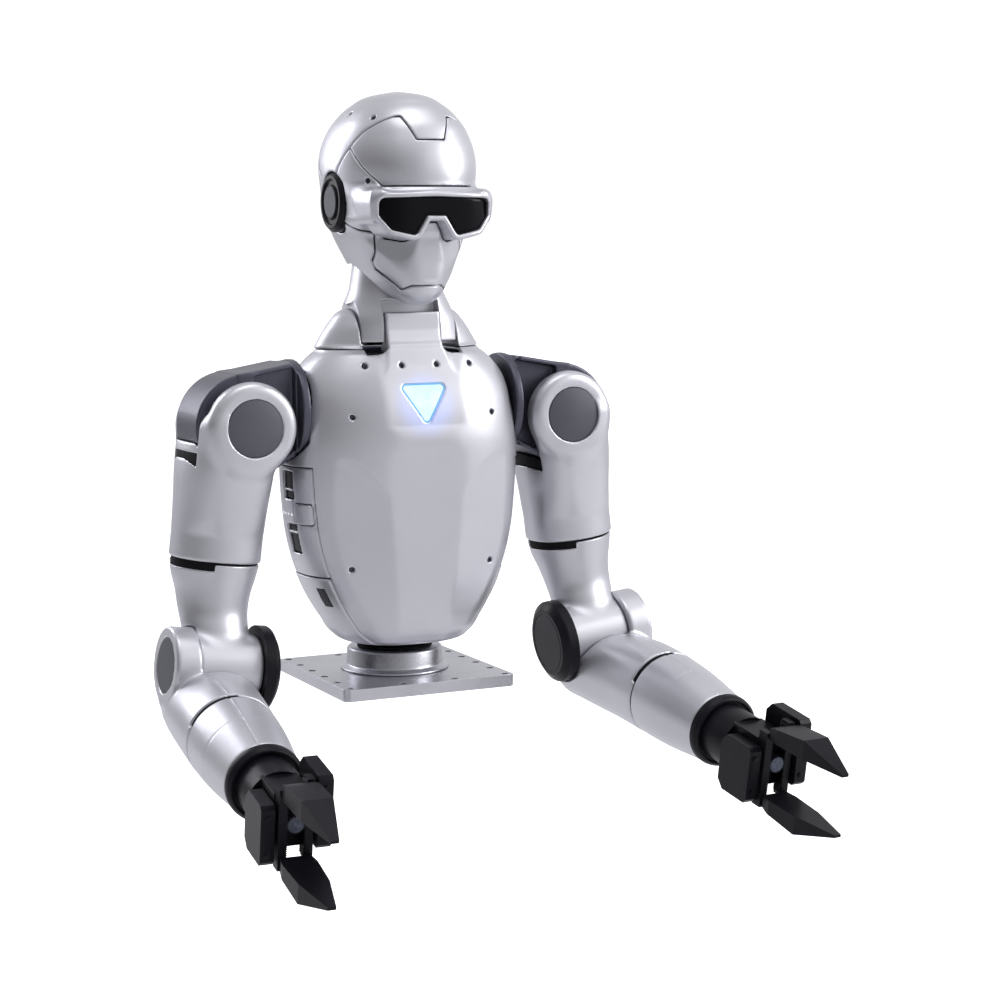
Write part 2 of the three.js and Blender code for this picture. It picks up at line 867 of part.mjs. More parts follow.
// The forearm shell, in the forearm's frame: a body that cradles the barrel, with the outer lobe.
function forearm(notchSide) {
  const body = forwardLoft([
    [-268, -14, -10, 26, 20],
    [-262, -13, -10, 40, 30],
    [-248, -11, -10, 49, 38],
    [-225, -8, -8, 51, 41],
    [-195, -5, -4, 51, 45],
    [-160, -2, -1, 49.5, 47.5],
    [-WRIST.gap - 1, 0, 0, 48, 48],
  ]);
  const centre = [0, ARM.elbowY, ARM.elbowZ];
  const lobe = moved(rod("x", ELBOW.lobeIn, ELBOW.lobeOut, ELBOW.lobe, centre), armToForearm);
  const room = moved(rod("x", -80, ELBOW.lobeIn, ELBOW.barrel + 2, centre), armToForearm);
  const capRoom = moved(rod("x", -80, ELBOW.capIn + 1, ELBOW.cap + 2, centre), armToForearm);
  const seat = moved(rod("x", ELBOW.lobeOut - 2.4, 90, ELBOW.disc + GAP, centre), armToForearm);
  const topBlock = block(-80, ARM.elbowY - 12, ARM.elbowZ, ELBOW.lobeIn, 60, ARM.elbowZ + 70);
  const top = moved(topBlock, armToForearm);
  const notch = cut(
    block(notchSide * -4, WRIST.gap - 2, 20, notchSide * 60, WRIST.gap + 5, 70),
    rod("y", 0, 200, 41),
  );
  return mainBody(cut(join(body, lobe), room, capRoom, seat, top, notch));
}

const elbowDisc = () =>
  rod("x", ELBOW.lobeOut - 2, ELBOW.lobeOut - 0.4, ELBOW.disc, [0, ARM.elbowY, ARM.elbowZ]);

const wristShell = () =>
  forwardLoft([
    [-WRIST.gap + 1, 0, 0, 47.6, 47.6],
    [-90, 0, 0, 47, 47],
    [-60, 0, 0, 45, 45],
    [-30, 0, 0, 41.5, 41.5],
    [-7, 0, 0, 38.5, 38.5],
  ]);

const wristRing = () => {
  const ring = rod("y", 6.6, -6, WRIST.ring + 0.6, [0, 0, 0]);
  return cut(ring, rod("y", -2, -7, GRIPPER.hub + 3));
};

function addArm(name, side) {
  const arm = new THREE.Group();
  arm.scale.x = side;
  part.add(arm);
  const upper = armFrame();
  const lower = forearmFrame();
  arm.add(upper, lower);
  const notchSide = -side; // both notches face the part's -X side, so the mirrored arm swaps them
  add(`shoulder_yoke_${name}`, shoulderYoke(), darkSilver(), arm);
  add(`shoulder_roll_motor_${name}`, rollMotor(), black(), arm);
  add(`upper_arm_shell_${name}`, upperArm(), silver(), upper);
  add(`shoulder_disc_${name}`, shoulderDisc(), greyDisc(), upper);
  add(`elbow_housing_${name}`, elbowHousing(notchSide), silver(), upper);
  add(`elbow_cap_${name}`, elbowCap(), black(), upper);
  add(`elbow_disc_${name}`, elbowDisc(), greyDisc(), upper);
  add(`forearm_shell_${name}`, forearm(notchSide), silver(), lower);
  add(`wrist_shell_${name}`, wristShell(), silver(), lower);
  add(`wrist_ring_${name}`, wristRing(), black(), lower);
}

// ---- gripper, in the wrist's frame: -Y is forward ----
const forward = (distance) => -distance;
const MODULE = (2 * GRIPPER.pinion) / GRIPPER.teeth;
const PITCH = Math.PI * MODULE;

// The palm: a round hub, a body and a face plate that the two racks slide across.
function palm() {
  const hub = rod("y", forward(GRIPPER.hubStart), forward(GRIPPER.hubEnd), GRIPPER.hub);
  const body = block(-18, forward(GRIPPER.hubEnd - 4), -27, 18, forward(GRIPPER.face), 27);
  return join(hub, body);
}

// A guard plate beside a rack, with chamfered corners and two bolt heads on its front.
function guard(x0, x1, back, front, low, high) {
  const chamfer = 9;
  const plate = plateYZ(
    [
      [forward(back), low + chamfer],
      [forward(back + chamfer), low],
      [forward(front - 4), low],
      [forward(front), low + 4],
      [forward(front), high - 4],
      [forward(front - 4), high],
      [forward(back + chamfer), high],
      [forward(back), high - chamfer],
    ].reverse(),
    x0,
    x1,
  );
  const middle = (x0 + x1) / 2;
  const bolts = [low + 12, high - 12].map((z) =>
    rod("y", forward(front - 1), forward(front + 2), 3, [middle, 0, z], 12),
  );
  return join(plate, ...bolts);
}

// A rack with trapezoid teeth that face the pinion. `side` is the side of the pinion it runs on.
function rack(side, low, high) {
  const backX = side * (GRIPPER.pinion + 8.5);
  const rootX = side * (GRIPPER.pinion + 1.25 * MODULE);
  const tipX = side * (GRIPPER.pinion - 0.9 * MODULE);
  const points = [
    [backX, low],
    [rootX, low],
  ];
  const first = Math.ceil((low + 1) / PITCH);
  const last = Math.floor((high - 1) / PITCH) - 1;
  for (let k = first; k <= last; k += 1) {
    const z = (k + 0.5) * PITCH;
    const root = 0.36 * PITCH;
    const tip = 0.11 * PITCH;
    points.push([rootX, z - root], [tipX, z - tip], [tipX, z + tip], [rootX, z + root]);
  }
  points.push([rootX, high], [backX, high]);
  if (side > 0) points.reverse();
  return plateXZ(points, forward(GRIPPER.rackEnd), forward(GRIPPER.face + GAP));
}

// A finger: flat inside, thickest at its knuckle, tapering to a blunt point. `up` is 1 or -1.
function finger(up) {
  const start = GRIPPER.rackEnd + 1.2;
  const profile = [
    [start, GRIPPER.gap],
    [GRIPPER.reach, GRIPPER.gap],
    [GRIPPER.reach, GRIPPER.gap + 3],
    [GRIPPER.knuckle, GRIPPER.gap + 20],
    [start + 10, GRIPPER.gap + 15],
    [start, GRIPPER.gap + 12],
  ].map(([distance, z]) => [forward(distance), up * z]);
  const plan = [
    [-15, forward(start)],
    [-17, forward(start + 14)],
    [-15, forward(GRIPPER.knuckle)],
    [-4, forward(GRIPPER.reach)],
    [4, forward(GRIPPER.reach)],
    [15, forward(GRIPPER.knuckle)],
    [17, forward(start + 14)],
    [15, forward(start)],
  ].reverse();
  const body = plateYZ(up > 0 ? profile.reverse() : profile, -20, 20);
  return clip(body, plateXY(plan, -70, 70));
}

// A finger with its rack. The upper one runs on the pinion's +X side, the lower one on its -X side.
function jaw(up) {
  const low = up > 0 ? -36 : -(GRIPPER.gap + 14);
  const high = up > 0 ? GRIPPER.gap + 14 : 36;
  const bridge = block(
    up * (GRIPPER.pinion + 2),
    forward(GRIPPER.rackEnd - 1),
    up * (GRIPPER.gap + 1),
    up * 14,
    forward(GRIPPER.rackEnd + 3),
    up * (GRIPPER.gap + 12),
  );
  return join(rack(up, low, high), bridge, finger(up));
}

// The pinion: straight flanks from the involute's foot to its tip, with a tooth facing each rack gap.
function pinion() {
  const base = GRIPPER.pinion * Math.cos(rad(20));
  const involute = (r) => Math.sqrt((r / base) ** 2 - 1) - Math.acos(base / r);
  const halfTooth = (Math.PI / (2 * GRIPPER.teeth)) * 0.82;
  const atPitch = involute(GRIPPER.pinion);
  const root = GRIPPER.pinion - 1.25 * MODULE;
  const tip = GRIPPER.pinion + 0.9 * MODULE;
  const radii = [base + 0.02, tip];
  const points = [];
  const push = (r, turn) => points.push([r * Math.cos(turn), r * Math.sin(turn)]);
  for (let k = 0; k < GRIPPER.teeth; k += 1) {
    const middle = (2 * Math.PI * k) / GRIPPER.teeth;
    const half = radii.map((r) => halfTooth + atPitch - involute(r));
    push(root, middle - half[0]);
    push(radii[1], middle - half[1]);
    push(radii[1], middle + half[1]);
    push(root, middle + half[0]);
  }
  return plateXZ(points, forward(GRIPPER.rackEnd - 0.5), forward(GRIPPER.face + GAP));
}

function addGripper(name, side) {
  const group = frame(side * WRIST.x, WRIST.y, WRIST.z, WRIST.pitch, 0, side * WRIST.yaw);
  part.add(group);
  add(`gripper_palm_${name}`, palm(), black(), group);
  add(`gripper_guard_low_${name}`, guard(-33, -19, 43.6, 95, -40, 20), black(), group);
  add(`gripper_guard_high_${name}`, guard(19, 33, 43.6, 104, -24, 48), black(), group);
  add(`finger_upper_${name}`, jaw(1), black(), group);
  add(`finger_lower_${name}`, jaw(-1), black(), group);
  add(`pinion_${name}`, pinion(), steel(), group);
}

SIDES.forEach(([name, side]) => {
  addArm(name, side);
  addGripper(name, side);
});

export default part;
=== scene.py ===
"""Looks of a humanoid robot's upper body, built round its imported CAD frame.

The cast covers are distance fields sampled on a grid, in millimetres, and meshed at their zero level,
so that blends, creases and seams are real geometry. Turned parts are lathe meshes. Everything in
Blender is in metres.
"""

import json
import math

import bmesh
import bpy
import numpy as np
import openvdb
from mathutils import Matrix, Vector

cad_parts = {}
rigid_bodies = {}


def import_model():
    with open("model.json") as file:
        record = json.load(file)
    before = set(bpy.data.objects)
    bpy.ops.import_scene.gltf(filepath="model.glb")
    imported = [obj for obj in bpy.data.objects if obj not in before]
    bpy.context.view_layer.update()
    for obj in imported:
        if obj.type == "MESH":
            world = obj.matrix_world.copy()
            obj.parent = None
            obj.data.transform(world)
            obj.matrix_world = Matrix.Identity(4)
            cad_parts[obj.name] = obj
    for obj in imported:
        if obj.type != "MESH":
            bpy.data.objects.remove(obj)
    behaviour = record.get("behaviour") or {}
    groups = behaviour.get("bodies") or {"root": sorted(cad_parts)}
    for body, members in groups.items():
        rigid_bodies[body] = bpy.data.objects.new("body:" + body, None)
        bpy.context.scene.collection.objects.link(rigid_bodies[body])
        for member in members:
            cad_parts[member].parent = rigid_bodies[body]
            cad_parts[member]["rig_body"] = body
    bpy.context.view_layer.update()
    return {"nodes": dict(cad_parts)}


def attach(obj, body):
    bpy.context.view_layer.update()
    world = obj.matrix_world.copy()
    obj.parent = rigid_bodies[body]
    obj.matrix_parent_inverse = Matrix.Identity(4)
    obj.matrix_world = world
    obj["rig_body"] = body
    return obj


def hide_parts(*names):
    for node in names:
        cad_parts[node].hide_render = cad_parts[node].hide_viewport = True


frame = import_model()

MM = 0.001
STEP = 1.25  # spacing of the field samples, in millimetres
FINE = 0.8  # the same for the chest lamp
SMALL = 1.2  # and for what sits in the side panels
SIDES = (("left", 1), ("right", -1))

# ---- dimensions, in millimetres, that follow the CAD model's ----
WALL = 4
SEAM = 1.2
GAP = 0.6  # round a piece that sits or turns in another
TORSO = (  # height, half width, depth to the front, depth to the back
    (47, 54, 50, 54),
    (50, 64, 56, 60),
    (58, 76, 63, 68),
    (76, 89, 70, 76),
    (102, 105, 74, 82),
    (132, 118, 77, 85),
    (165, 127, 79, 87),
    (205, 132, 81, 88),
    (245, 134, 83, 88),
    (280, 133, 83, 86),
    (305, 129, 80, 84),
    (325, 125, 74, 80),
    (342, 117, 67, 76),
    (356, 106, 60, 70),
    (370, 90, 53, 62),
)
TORSO_CENTRE = -18
TORSO_POWER = 2.35
# Height and half width of the flat down the chest.
FACET = ((47, 28), (60, 29), (112, 33), (167, 38.5), (224, 43), (250, 46), (268, 52), (290, 66))
FACET_TOP, FACET_LIFT = 256, 4.5  # where the flat runs out, and how far it does so
FLANK_TOP, FLANK_LIFT = 226, 7  # the same for the slopes beside it
FACET_ANGLE = math.radians(18.5)
PANEL_FRONT, PANEL_BACK, PANEL_LOW, PANEL_HIGH = -62, 44, 128, 246
CHEST_SEAM = -4
DECK = 370  # where the covers end round the neck
WAIST_R, BEARING_R = 41, 42
SLOT_FRONT, COLUMN_BACK, NECK_BACK = -66, -46, 32  # the openings round the neck
LAMP_HALF, LAMP_TOP, LAMP_TIP, LAMP_CORNER = 19.5, 328.5, 298, 4.5
CHEST_SCREWS = ((20.2, 353), (60.8, 353), (81, 300.5), (81, 137.5))  # across, height
CHEST_BORE, HEAD_BORE = 2.9, 3
SLOT_R, SLOT_LOW = 69, -32  # the black layer of painted shade under the shoulder drum, in the arm's frame
YOKE_CLEAR = 133  # out to here the yoke turns within the torso's round socket
PORT_BAYS = ((211, 241), (152, 184))
PORT_FRONT, PORT_BACK = -36, -13
DOT_FRONT, DOT_LENGTH, DOT_PITCH, DOT_LOW, DOT_HIGH = -31, 4.5, 8, 192.6, 196
VENT_FRONT, VENT_BACK, VENT_LOW, VENT_HIGH = -54, -41, 94, 116
KEY_Y, KEY_Z, KEY_HALF = -48, 196, 11

SHOULDER_X, SHOULDER_Y, SHOULDER_Z, SOCKET_Z = 185.5, -15, 292.4, 306
SOCKET_X, SOCKET_R = 120, 56
YOKE_IN, YOKE_BORE = 126, 30.4
DRUM_R, DRUM_HALF, LOBE_R, SHOULDER_DISC_R = 55.5, 34.7, 48, 30
ARM_AT, ARM_TILT, ARM_R, YAW_GAP = (194.5, -13, 292), 7, 48, -143.6
ROLL_X, ROLL_Z = -8.9, 1.5
LOBES = ((-64, -37.5), (33.5, 60))
ELBOW_Y, ELBOW_Z, BARREL_R, CAP_R, LOBE_ELBOW_R, ELBOW_DISC_R = -35.3, -253.4, 35, 46, 41, 29
CAP_IN, CAP_OUT, LOBE_IN, LOBE_OUT = -42, -59.6, 27, 55
WRIST_AT, WRIST_PITCH, WRIST_YAW, ROLL_GAP = (255.5, -283, -30), 10.02, 3.09, 112
NOTCH_R = 41  # how deep the notches beside the yaw gap and the roll gap go

NECK_Y, LEG_IN, LEG_OUT, NECK_FLARE = -14, 32, 55, 416
NECK_ROOM = ((400, 60.5), (420, 60), (434, 55), (448, 52.5), (474, 51.5))  # height, radius
NECK = (
    (377, 77, 49, 38),
    (404, 67, 48, 38),
    (418, 58, 45, 43),
    (432, 51, 43, 45),
    (450, 47, 42, 46),
    (462, 45, 42, 46),
)
BOSS = ((370.4, 95, 50, 50), (382, 88, 49, 49), (398, 77, 45, 46), (408, 68, 36, 38), (414, 59, 20, 22))
HEAD = (
    (417, 20, 68, 20),
    (426, 32, 78, 30),
    (441, 43, 83, 42),
    (465, 55, 85, 58),
    (490, 66, 88, 76),
    (515, 73, 93, 90),
    (545, 77, 100, 98),
    (571, 78, 99, 100),
    (592, 73, 92, 94),
    (612, 62, 81, 80),
    (628, 46, 63, 61),
    (638, 29, 42, 40),
    (643, 12, 18, 18),
)
HEAD_CENTRE, HEAD_POWER = -20, 2.3
VISOR_CENTRE, VISOR_WIDTH, VISOR_FRONT, VISOR_BACK, VISOR_POWER = -40, 82, 88, -80, 4
LENS_CORNER, RIM = 6, 5.5  # the lens opening's corner radius, and the width of the frame round it
LENS = [(-15, 525), (56, 523), (56, 513), (46.5, 501.5), (26, 497), (13.5, 517), (-15, 517)]
EAR_Y, EAR_Z, EAR_R, EAR_OUT = -24, 526, 32, 79


# ---- fields: negative inside, and close to the distance in millimetres near the surface ----
def axes(low, high, step=STEP):
    """The sample places along x, y and z, shaped to broadcast against each other."""
    x, y, z = (np.arange(a - 3 * step, b + 4 * step, step, dtype=np.float32) for a, b in zip(low, high))
    return x[:, None, None], y[None, :, None], z[None, None, :]


def both(a, b, k=0.6):
    """Where both fields are inside, with the edge rounded over about k."""
    h = np.clip(0.5 - 0.5 * (b - a) / k, 0, 1)
    return b * (1 - h) + a * h + k * h * (1 - h)


def either(a, b, k=0.6):
    """Where one of the fields is inside, with a fillet of about k."""
    return -both(-a, -b, k)


def without(a, b, k=0.6):
    """The first field less the second."""
    return both(a, -b, k)


def bar(c, low, high):
    """Between two places along one coordinate."""
    return np.abs(c - (low + high) / 2) - (high - low) / 2


def smooth_step(value, low, high):
    """From 0 to 1 between two values, without a kink."""
    t = np.clip((value - low) / (high - low), 0, 1)
    return t * t * (3 - 2 * t)


def rod(u, v, w, radius, low, high, edge=1.0):
    """A cylinder along w whose centre line is u = v = 0."""
    return both(np.sqrt(u * u + v * v) - radius, bar(w, low, high), edge)


def box(x, y, z, low, high, edge=1.0):
    """A block between two corners."""
    flat = both(bar(x, low[0], high[0]), bar(y, low[1], high[1]), edge)
    return both(flat, bar(z, low[2], high[2]), edge)


def polygon(u, v, points):
    """Signed distance to a closed outline in the u, v plane."""
    nearest, inside = None, None
    for (ua, va), (ub, vb) in zip(points, points[1:] + points[:1]):
        away = segment(u, v, (ua, va), (ub, vb))
        nearest = away if nearest is None else np.minimum(nearest, away)
        if va != vb:
            crosses = ((v >= min(va, vb)) & (v < max(va, vb))) & (u < ua + (v - va) * (ub - ua) / (vb - va))
            inside = crosses if inside is None else inside ^ crosses
    return np.where(inside, -nearest, nearest)


def segment(u, v, a, b):
    """Distance to a straight stretch from a to b in the u, v plane."""
    du, dv = b[0] - a[0], b[1] - a[1]
    t = np.clip(((u - a[0]) * du + (v - a[1]) * dv) / (du * du + dv * dv), 0, 1)
    return np.sqrt((u - a[0] - t * du) ** 2 + (v - a[1] - t * dv) ** 2)


def line(u, v, points):
    """Distance to an open line through the points."""
    parts = [segment(u, v, a, b) for a, b in zip(points, points[1:])]
    return np.minimum.reduce(parts)


def groove(skin, path, width=1.3, depth=1.6):
    """A cut along a line: path is the distance to it, skin the field of the surface it is cut in."""
    return without(skin, both(path - width / 2, -skin - depth, 0.3), 0.7)


def columns(table, at):
    """The table's columns at these heights, on smooth cubic curves, each with its slope."""
    rows = np.array(table, float)
    heights, values = rows[:, 0], rows[:, 1:]
    slopes = np.gradient(values, heights, axis=0)
    i = np.clip(np.searchsorted(heights, at.ravel()) - 1, 0, len(heights) - 2)
    gap = (heights[i + 1] - heights[i])[:, None]
    t = np.clip((at.ravel() - heights[i]) / gap[:, 0], 0, 1)[:, None]
    start, end, rise, fall = values[i], values[i + 1], slopes[i] * gap, slopes[i + 1] * gap
    curve = (
        start * (2 * t**3 - 3 * t**2 + 1)
        + rise * (t**3 - 2 * t**2 + t)
        + end * (3 * t**2 - 2 * t**3)
        + fall * (t**3 - t**2)
    )
    return [c.reshape(at.shape).astype(np.float32) for c in curve.T]


def lofted(x, y, z, table, centre, power, cap=3.0):
    """A stack of level superellipses, closed by flat ends whose edges are rounded over cap."""
    width, front, back = columns(table, z)
    depth = np.where(y < centre, front, back)
    u, v = np.abs(x) / width, np.abs(y - centre) / depth
    up, vp = u**power, v**power
    size = np.maximum(up + vp, 1e-6) ** (1 / power)
    fall = np.gradient(width.ravel(), z.ravel()).reshape(width.shape)
    steep = np.sqrt(1 + fall * fall)
    slope = np.sqrt((up / np.maximum(u, 1e-3) / width) ** 2 + (vp / np.maximum(v, 1e-3) / depth) ** 2)
    side = (size - 1) / np.maximum(slope * size ** (1 - power), 1e-4) / steep
    return both(side, bar(z, table[0][0], table[-1][0]), cap)


def ring_loft(w, u, v, table):
    """A tube along w: place, centre u, centre v, radius along u, radius along v."""
    cu, cv, ru, rv = columns(table, w)
    mean = (ru + rv) / 2
    side = (np.sqrt(((u - cu) / ru) ** 2 + ((v - cv) / rv) ** 2) - 1) * mean
    return both(side, bar(w, table[0][0], table[-1][0]), 2.0)


# ---- from fields and outlines to Blender pieces ----
def link(name, mesh, look, body, *nodes):
    """Puts a mesh in the scene on its body, in the place of its CAD nodes if it has any."""
    obj = bpy.data.objects.new(name, mesh)
    bpy.context.scene.collection.objects.link(obj)
    mesh.materials.append(look)
    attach(obj, body)
    if nodes:
        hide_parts(*nodes)
    return obj


def largest(points, quads):
    """The faces of the largest connected surface, without the crumbs that a cut leaves."""
    label = np.arange(len(points))
    while True:
        low = label[quads].min(axis=1)
        fresh = label.copy()
        np.minimum.at(fresh, quads.ravel(), np.repeat(low, 4))
        fresh = fresh[fresh]
        if np.array_equal(fresh, label):
            break
        label = fresh
    names, counts = np.unique(label[quads[:, 0]], return_counts=True)
    kept = quads[label[quads[:, 0]] == names[counts.argmax()]]
    used = np.unique(kept)
    place = np.zeros(len(points), int)
    place[used] = np.arange(len(used))
    return points[used], place[kept]


def cast(name, field, grid, look, body, node=None, place=None, mirrored=False):
    """Meshes a field's zero level as one piece, which stands for its CAD node if it has one."""
    x, y, z = grid
    step = float(x[1, 0, 0] - x[0, 0, 0])
    shape = (x.size, y.size, z.size)
    band = 3 * step
    volume = openvdb.FloatGrid(band)
    volume.copyFromArray(np.ascontiguousarray(np.clip(np.broadcast_to(field, shape), -band, band)))
    points, quads = volume.convertToQuads(0.0)
    points, quads = largest(points, quads.astype(int))
    start = np.array([x[0, 0, 0], y[0, 0, 0], z[0, 0, 0]], float)
    points = points * step + start
    if place is not None:
        matrix = np.array(place)
        points = points @ matrix[:3, :3].T + matrix[:3, 3]
    if mirrored:
        points[:, 0] *= -1
        quads = quads[:, ::-1]
    mesh = bpy.data.meshes.new(name)
    mesh.from_pydata((points * MM).tolist(), [], quads.tolist())
    mesh.shade_smooth()
    return link(name, mesh, look, body, *filter(None, [node]))


def on_skin(field, grid, centre, away):
    """Where a line that comes in from outside, along away and towards centre, meets the surface."""
    x, y, z = (c.ravel() for c in grid)
    step = x[1] - x[0]
    for distance in np.arange(150, 0, -0.25):
        point = Vector(centre) + Vector(away) * float(distance)
        i, j, k = (int(round((at - c[0]) / step)) for at, c in zip(point, (x, y, z)))
        if 0 <= i < x.size and 0 <= j < y.size and 0 <= k < z.size and field[i, j, k] < 0:
            return point
    raise ValueError("the line misses the surface")


def pit(x, y, z, point, away, radius, depth):
    """A round hole into the surface at a point."""
    u, v, w = x - point[0], y - point[1], z - point[2]
    along = u * away[0] + v * away[1] + w * away[2]
    across = np.sqrt(np.maximum(u * u + v * v + w * w - along * along, 0))
    return both(across - radius, np.abs(along) - depth, 0.8)


def socket_screw(name, point, away, body, radius=2.4, sink=1.6):
    """A cap screw with a round socket, sunk in its hole."""
    profile = [(0, -4), (radius, -4), (radius, -0.3), (radius - 0.3, 0), (1.3, 0), (1.1, -1.4), (0, -1.4)]
    profile = [(r, along - sink) for r, along in profile]
    lathe(name, profile, point, away, STEEL, body, width=0.1, segments=24)


def soften(obj, width, angle=30):
    """Rounds a piece's hard edges and shades it smooth."""
    obj.data.shade_smooth()
    obj.data.set_sharp_from_angle(angle=math.radians(angle))
    bevel = obj.modifiers.new("edges", "BEVEL")
    bevel.width = width * MM
    bevel.segments = 3
    bevel.limit_method = "ANGLE"
    bevel.angle_limit = math.radians(angle)
    bevel.harden_normals = True
    return obj


def crisp(node, look, width=0.6):
    """A copy of a CAD node with its flat faces merged and its edges rounded."""
    source = frame["nodes"][node]
    bm = bmesh.new()
    bm.from_mesh(source.data)
    bmesh.ops.remove_doubles(bm, verts=bm.verts, dist=1e-6)
    bmesh.ops.dissolve_limit(bm, angle_limit=math.radians(1), verts=bm.verts, edges=bm.edges)
    mesh = bpy.data.meshes.new(node)
    bm.to_mesh(mesh)
    bm.free()
    return soften(link(f"{node}_piece", mesh, look, source["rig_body"], node), width)


def lathe(name, profile, centre, axis, look, body, *nodes, width=0.5, segments=96):
    """A solid of revolution: (radius, distance) points from one end of the axis to the other."""
    bm = bmesh.new()
    rings = []
    for radius, along in profile:
        if radius == 0:
            rings.append([bm.verts.new((0, 0, along * MM))])
            continue
        reach = radius * MM
        turns = (2 * math.pi * i / segments for i in range(segments))
        rings.append([bm.verts.new((reach * math.cos(t), reach * math.sin(t), along * MM)) for t in turns])
    for low, high in zip(rings, rings[1:]):
        for i in range(segments):
            j = (i + 1) % segments
            corners = [low[i % len(low)], low[j % len(low)], high[j % len(high)], high[i % len(high)]]
            bm.faces.new(list(dict.fromkeys(corners)))
    bmesh.ops.recalc_face_normals(bm, faces=bm.faces)
    turn = Vector(axis).to_track_quat("Z", "Y").to_matrix().to_4x4()
    bm.transform(Matrix.Translation(Vector(centre) * MM) @ turn)
    mesh = bpy.data.meshes.new(name)
    bm.to_mesh(mesh)
    bm.free()
    return soften(link(name, mesh, look, body, *nodes), width)


def place_matrix(at, pitch, roll, yaw):
    """A frame in millimetres: turned by roll about Y, then pitch about X, then yaw about Z."""
    turn = Matrix.Rotation(math.radians(yaw), 4, "Z") @ Matrix.Rotation(math.radians(pitch), 4, "X")
    return Matrix.Translation(at) @ turn @ Matrix.Rotation(math.radians(roll), 4, "Y")


ARM = place_matrix(ARM_AT, 0, -ARM_TILT, 0)
FOREARM = place_matrix(WRIST_AT, WRIST_PITCH, 0, WRIST_YAW)
FOREARM_TO_ARM = ARM.inverted() @ FOREARM


def mirror(point, side):
    """A place or a direction on the robot's left, brought to the given side."""
    return (side * point[0], point[1], point[2])


def in_place(matrix, point, side):
    return mirror(matrix @ Vector(point), side)


def direction(matrix, vector, side):
    return mirror(matrix.to_3x3() @ Vector(vector), side)


def in_arm(x, y, z):
    """The forearm's sample places in the arm's frame."""
    m = np.array(FOREARM_TO_ARM)
    return [m[i, 0] * x + m[i, 1] * y + m[i, 2] * z + np.float32(m[i, 3]) for i in range(3)]


# ---- materials ----
def nodes_of(name):
    """A new material, its node tree and its shader."""
    look = bpy.data.materials.new(name)
    look.use_nodes = True
    tree = look.node_tree
    return look, tree, tree.nodes["Principled BSDF"]


def add_node(tree, kind, values=()):
    """A new node with some of its inputs set."""
    node = tree.nodes.new(kind)
    for name, value in dict(values).items():
        node.inputs[name].default_value = value
    return node


def speckle(tree, scale, detail=3.0):
    """Noise over the piece's own coordinates, in metres."""
    where = tree.nodes.new("ShaderNodeTexCoord")
    noise = add_node(tree, "ShaderNodeTexNoise", {"Scale": scale, "Detail": detail})
    tree.links.new(where.outputs["Object"], noise.inputs["Vector"])
    return noise.outputs["Fac"]


def ranged(tree, value, low, high):
    """Stretches a noise value from its usual 0.3 to 0.7 to between two numbers."""
    spread = {"From Min": 0.3, "From Max": 0.7, "To Min": low, "To Max": high}
    scale = add_node(tree, "ShaderNodeMapRange", spread)
    tree.links.new(value, scale.inputs["Value"])
    return scale.outputs["Result"]


def tinted(tree, factor, dark, light):
    """A colour between two, by a factor."""
    mix = tree.nodes.new("ShaderNodeMix")
    mix.data_type = "RGBA"
    mix.inputs["A"].default_value = (*dark, 1)
    mix.inputs["B"].default_value = (*light, 1)
    tree.links.new(factor, mix.inputs["Factor"])
    return mix.outputs["Result"]


def bumped(tree, shader, height, strength, distance):
    """Relief on the shader's surface."""
    bump = add_node(tree, "ShaderNodeBump", {"Strength": strength, "Distance": distance})
    tree.links.new(height, bump.inputs["Height"])
    tree.links.new(bump.outputs["Normal"], shader.inputs["Normal"])


def painted(name, dark, light, metallic, rough, coat=0.0, flake=1400, cloud=9, specular=0.5):
    """Sprayed paint or moulded plastic: cloudy tone, fine grain in the gloss and a faint orange peel."""
    look, tree, shader = nodes_of(name)
    wire = tree.links.new
    tone = tinted(tree, ranged(tree, speckle(tree, cloud), 0, 1), dark, light)
    wire(tone, shader.inputs["Base Color"])
    wire(ranged(tree, speckle(tree, flake, 2.0), *rough), shader.inputs["Roughness"])
    shader.inputs["Metallic"].default_value = metallic
    shader.inputs["Coat Weight"].default_value = coat
    shader.inputs["Coat Roughness"].default_value = 0.12
    shader.inputs["Specular IOR Level"].default_value = specular
    bumped(tree, shader, speckle(tree, flake, 2.0), 0.05, 0.0004)
    return look


def paint_with_painted_glow(name):
    """The silver paint of the chest, with a blue glow painted round the lamp: the paint itself emits, in
    place of the lamp's light falling on it.
    """
    look = painted(name, *SILVER_TONES, **SILVER_FINISH)
    tree = look.node_tree
    wire = tree.links.new
    shader = tree.nodes["Principled BSDF"]
    where = tree.nodes.new("ShaderNodeTexCoord")
    away = tree.nodes.new("ShaderNodeVectorMath")
    away.operation = "DISTANCE"
    away.inputs[1].default_value = (0, -0.097, (LAMP_TOP + LAMP_TIP) / 2 * MM)
    wire(where.outputs["Object"], away.inputs[0])
    # painted light: the paint emits blue next to the lamp, fading out by 46 mm from the lamp's middle
    reach = {"From Min": 0.010, "From Max": 0.046, "To Min": 0.42, "To Max": 0.0}
    fade = add_node(tree, "ShaderNodeMapRange", reach)
    fade.interpolation_type = "SMOOTHERSTEP"
    wire(away.outputs["Value"], fade.inputs["Value"])
    shader.inputs["Emission Color"].default_value = (0.10, 0.26, 1.0, 1)
    wire(fade.outputs["Result"], shader.inputs["Emission Strength"])
    return look


def lamp_glow(name, dark, light, strength):
    """A lit lens, a little uneven."""
    look, tree, shader = nodes_of(name)
    tone = tinted(tree, ranged(tree, speckle(tree, 60), 0, 1), dark, light)
    tree.links.new(tone, shader.inputs["Emission Color"])
    shader.inputs["Base Color"].default_value = (0.1, 0.14, 0.16, 1)
    shader.inputs["Emission Strength"].default_value = strength
    shader.inputs["Roughness"].default_value = 0.25
    return look


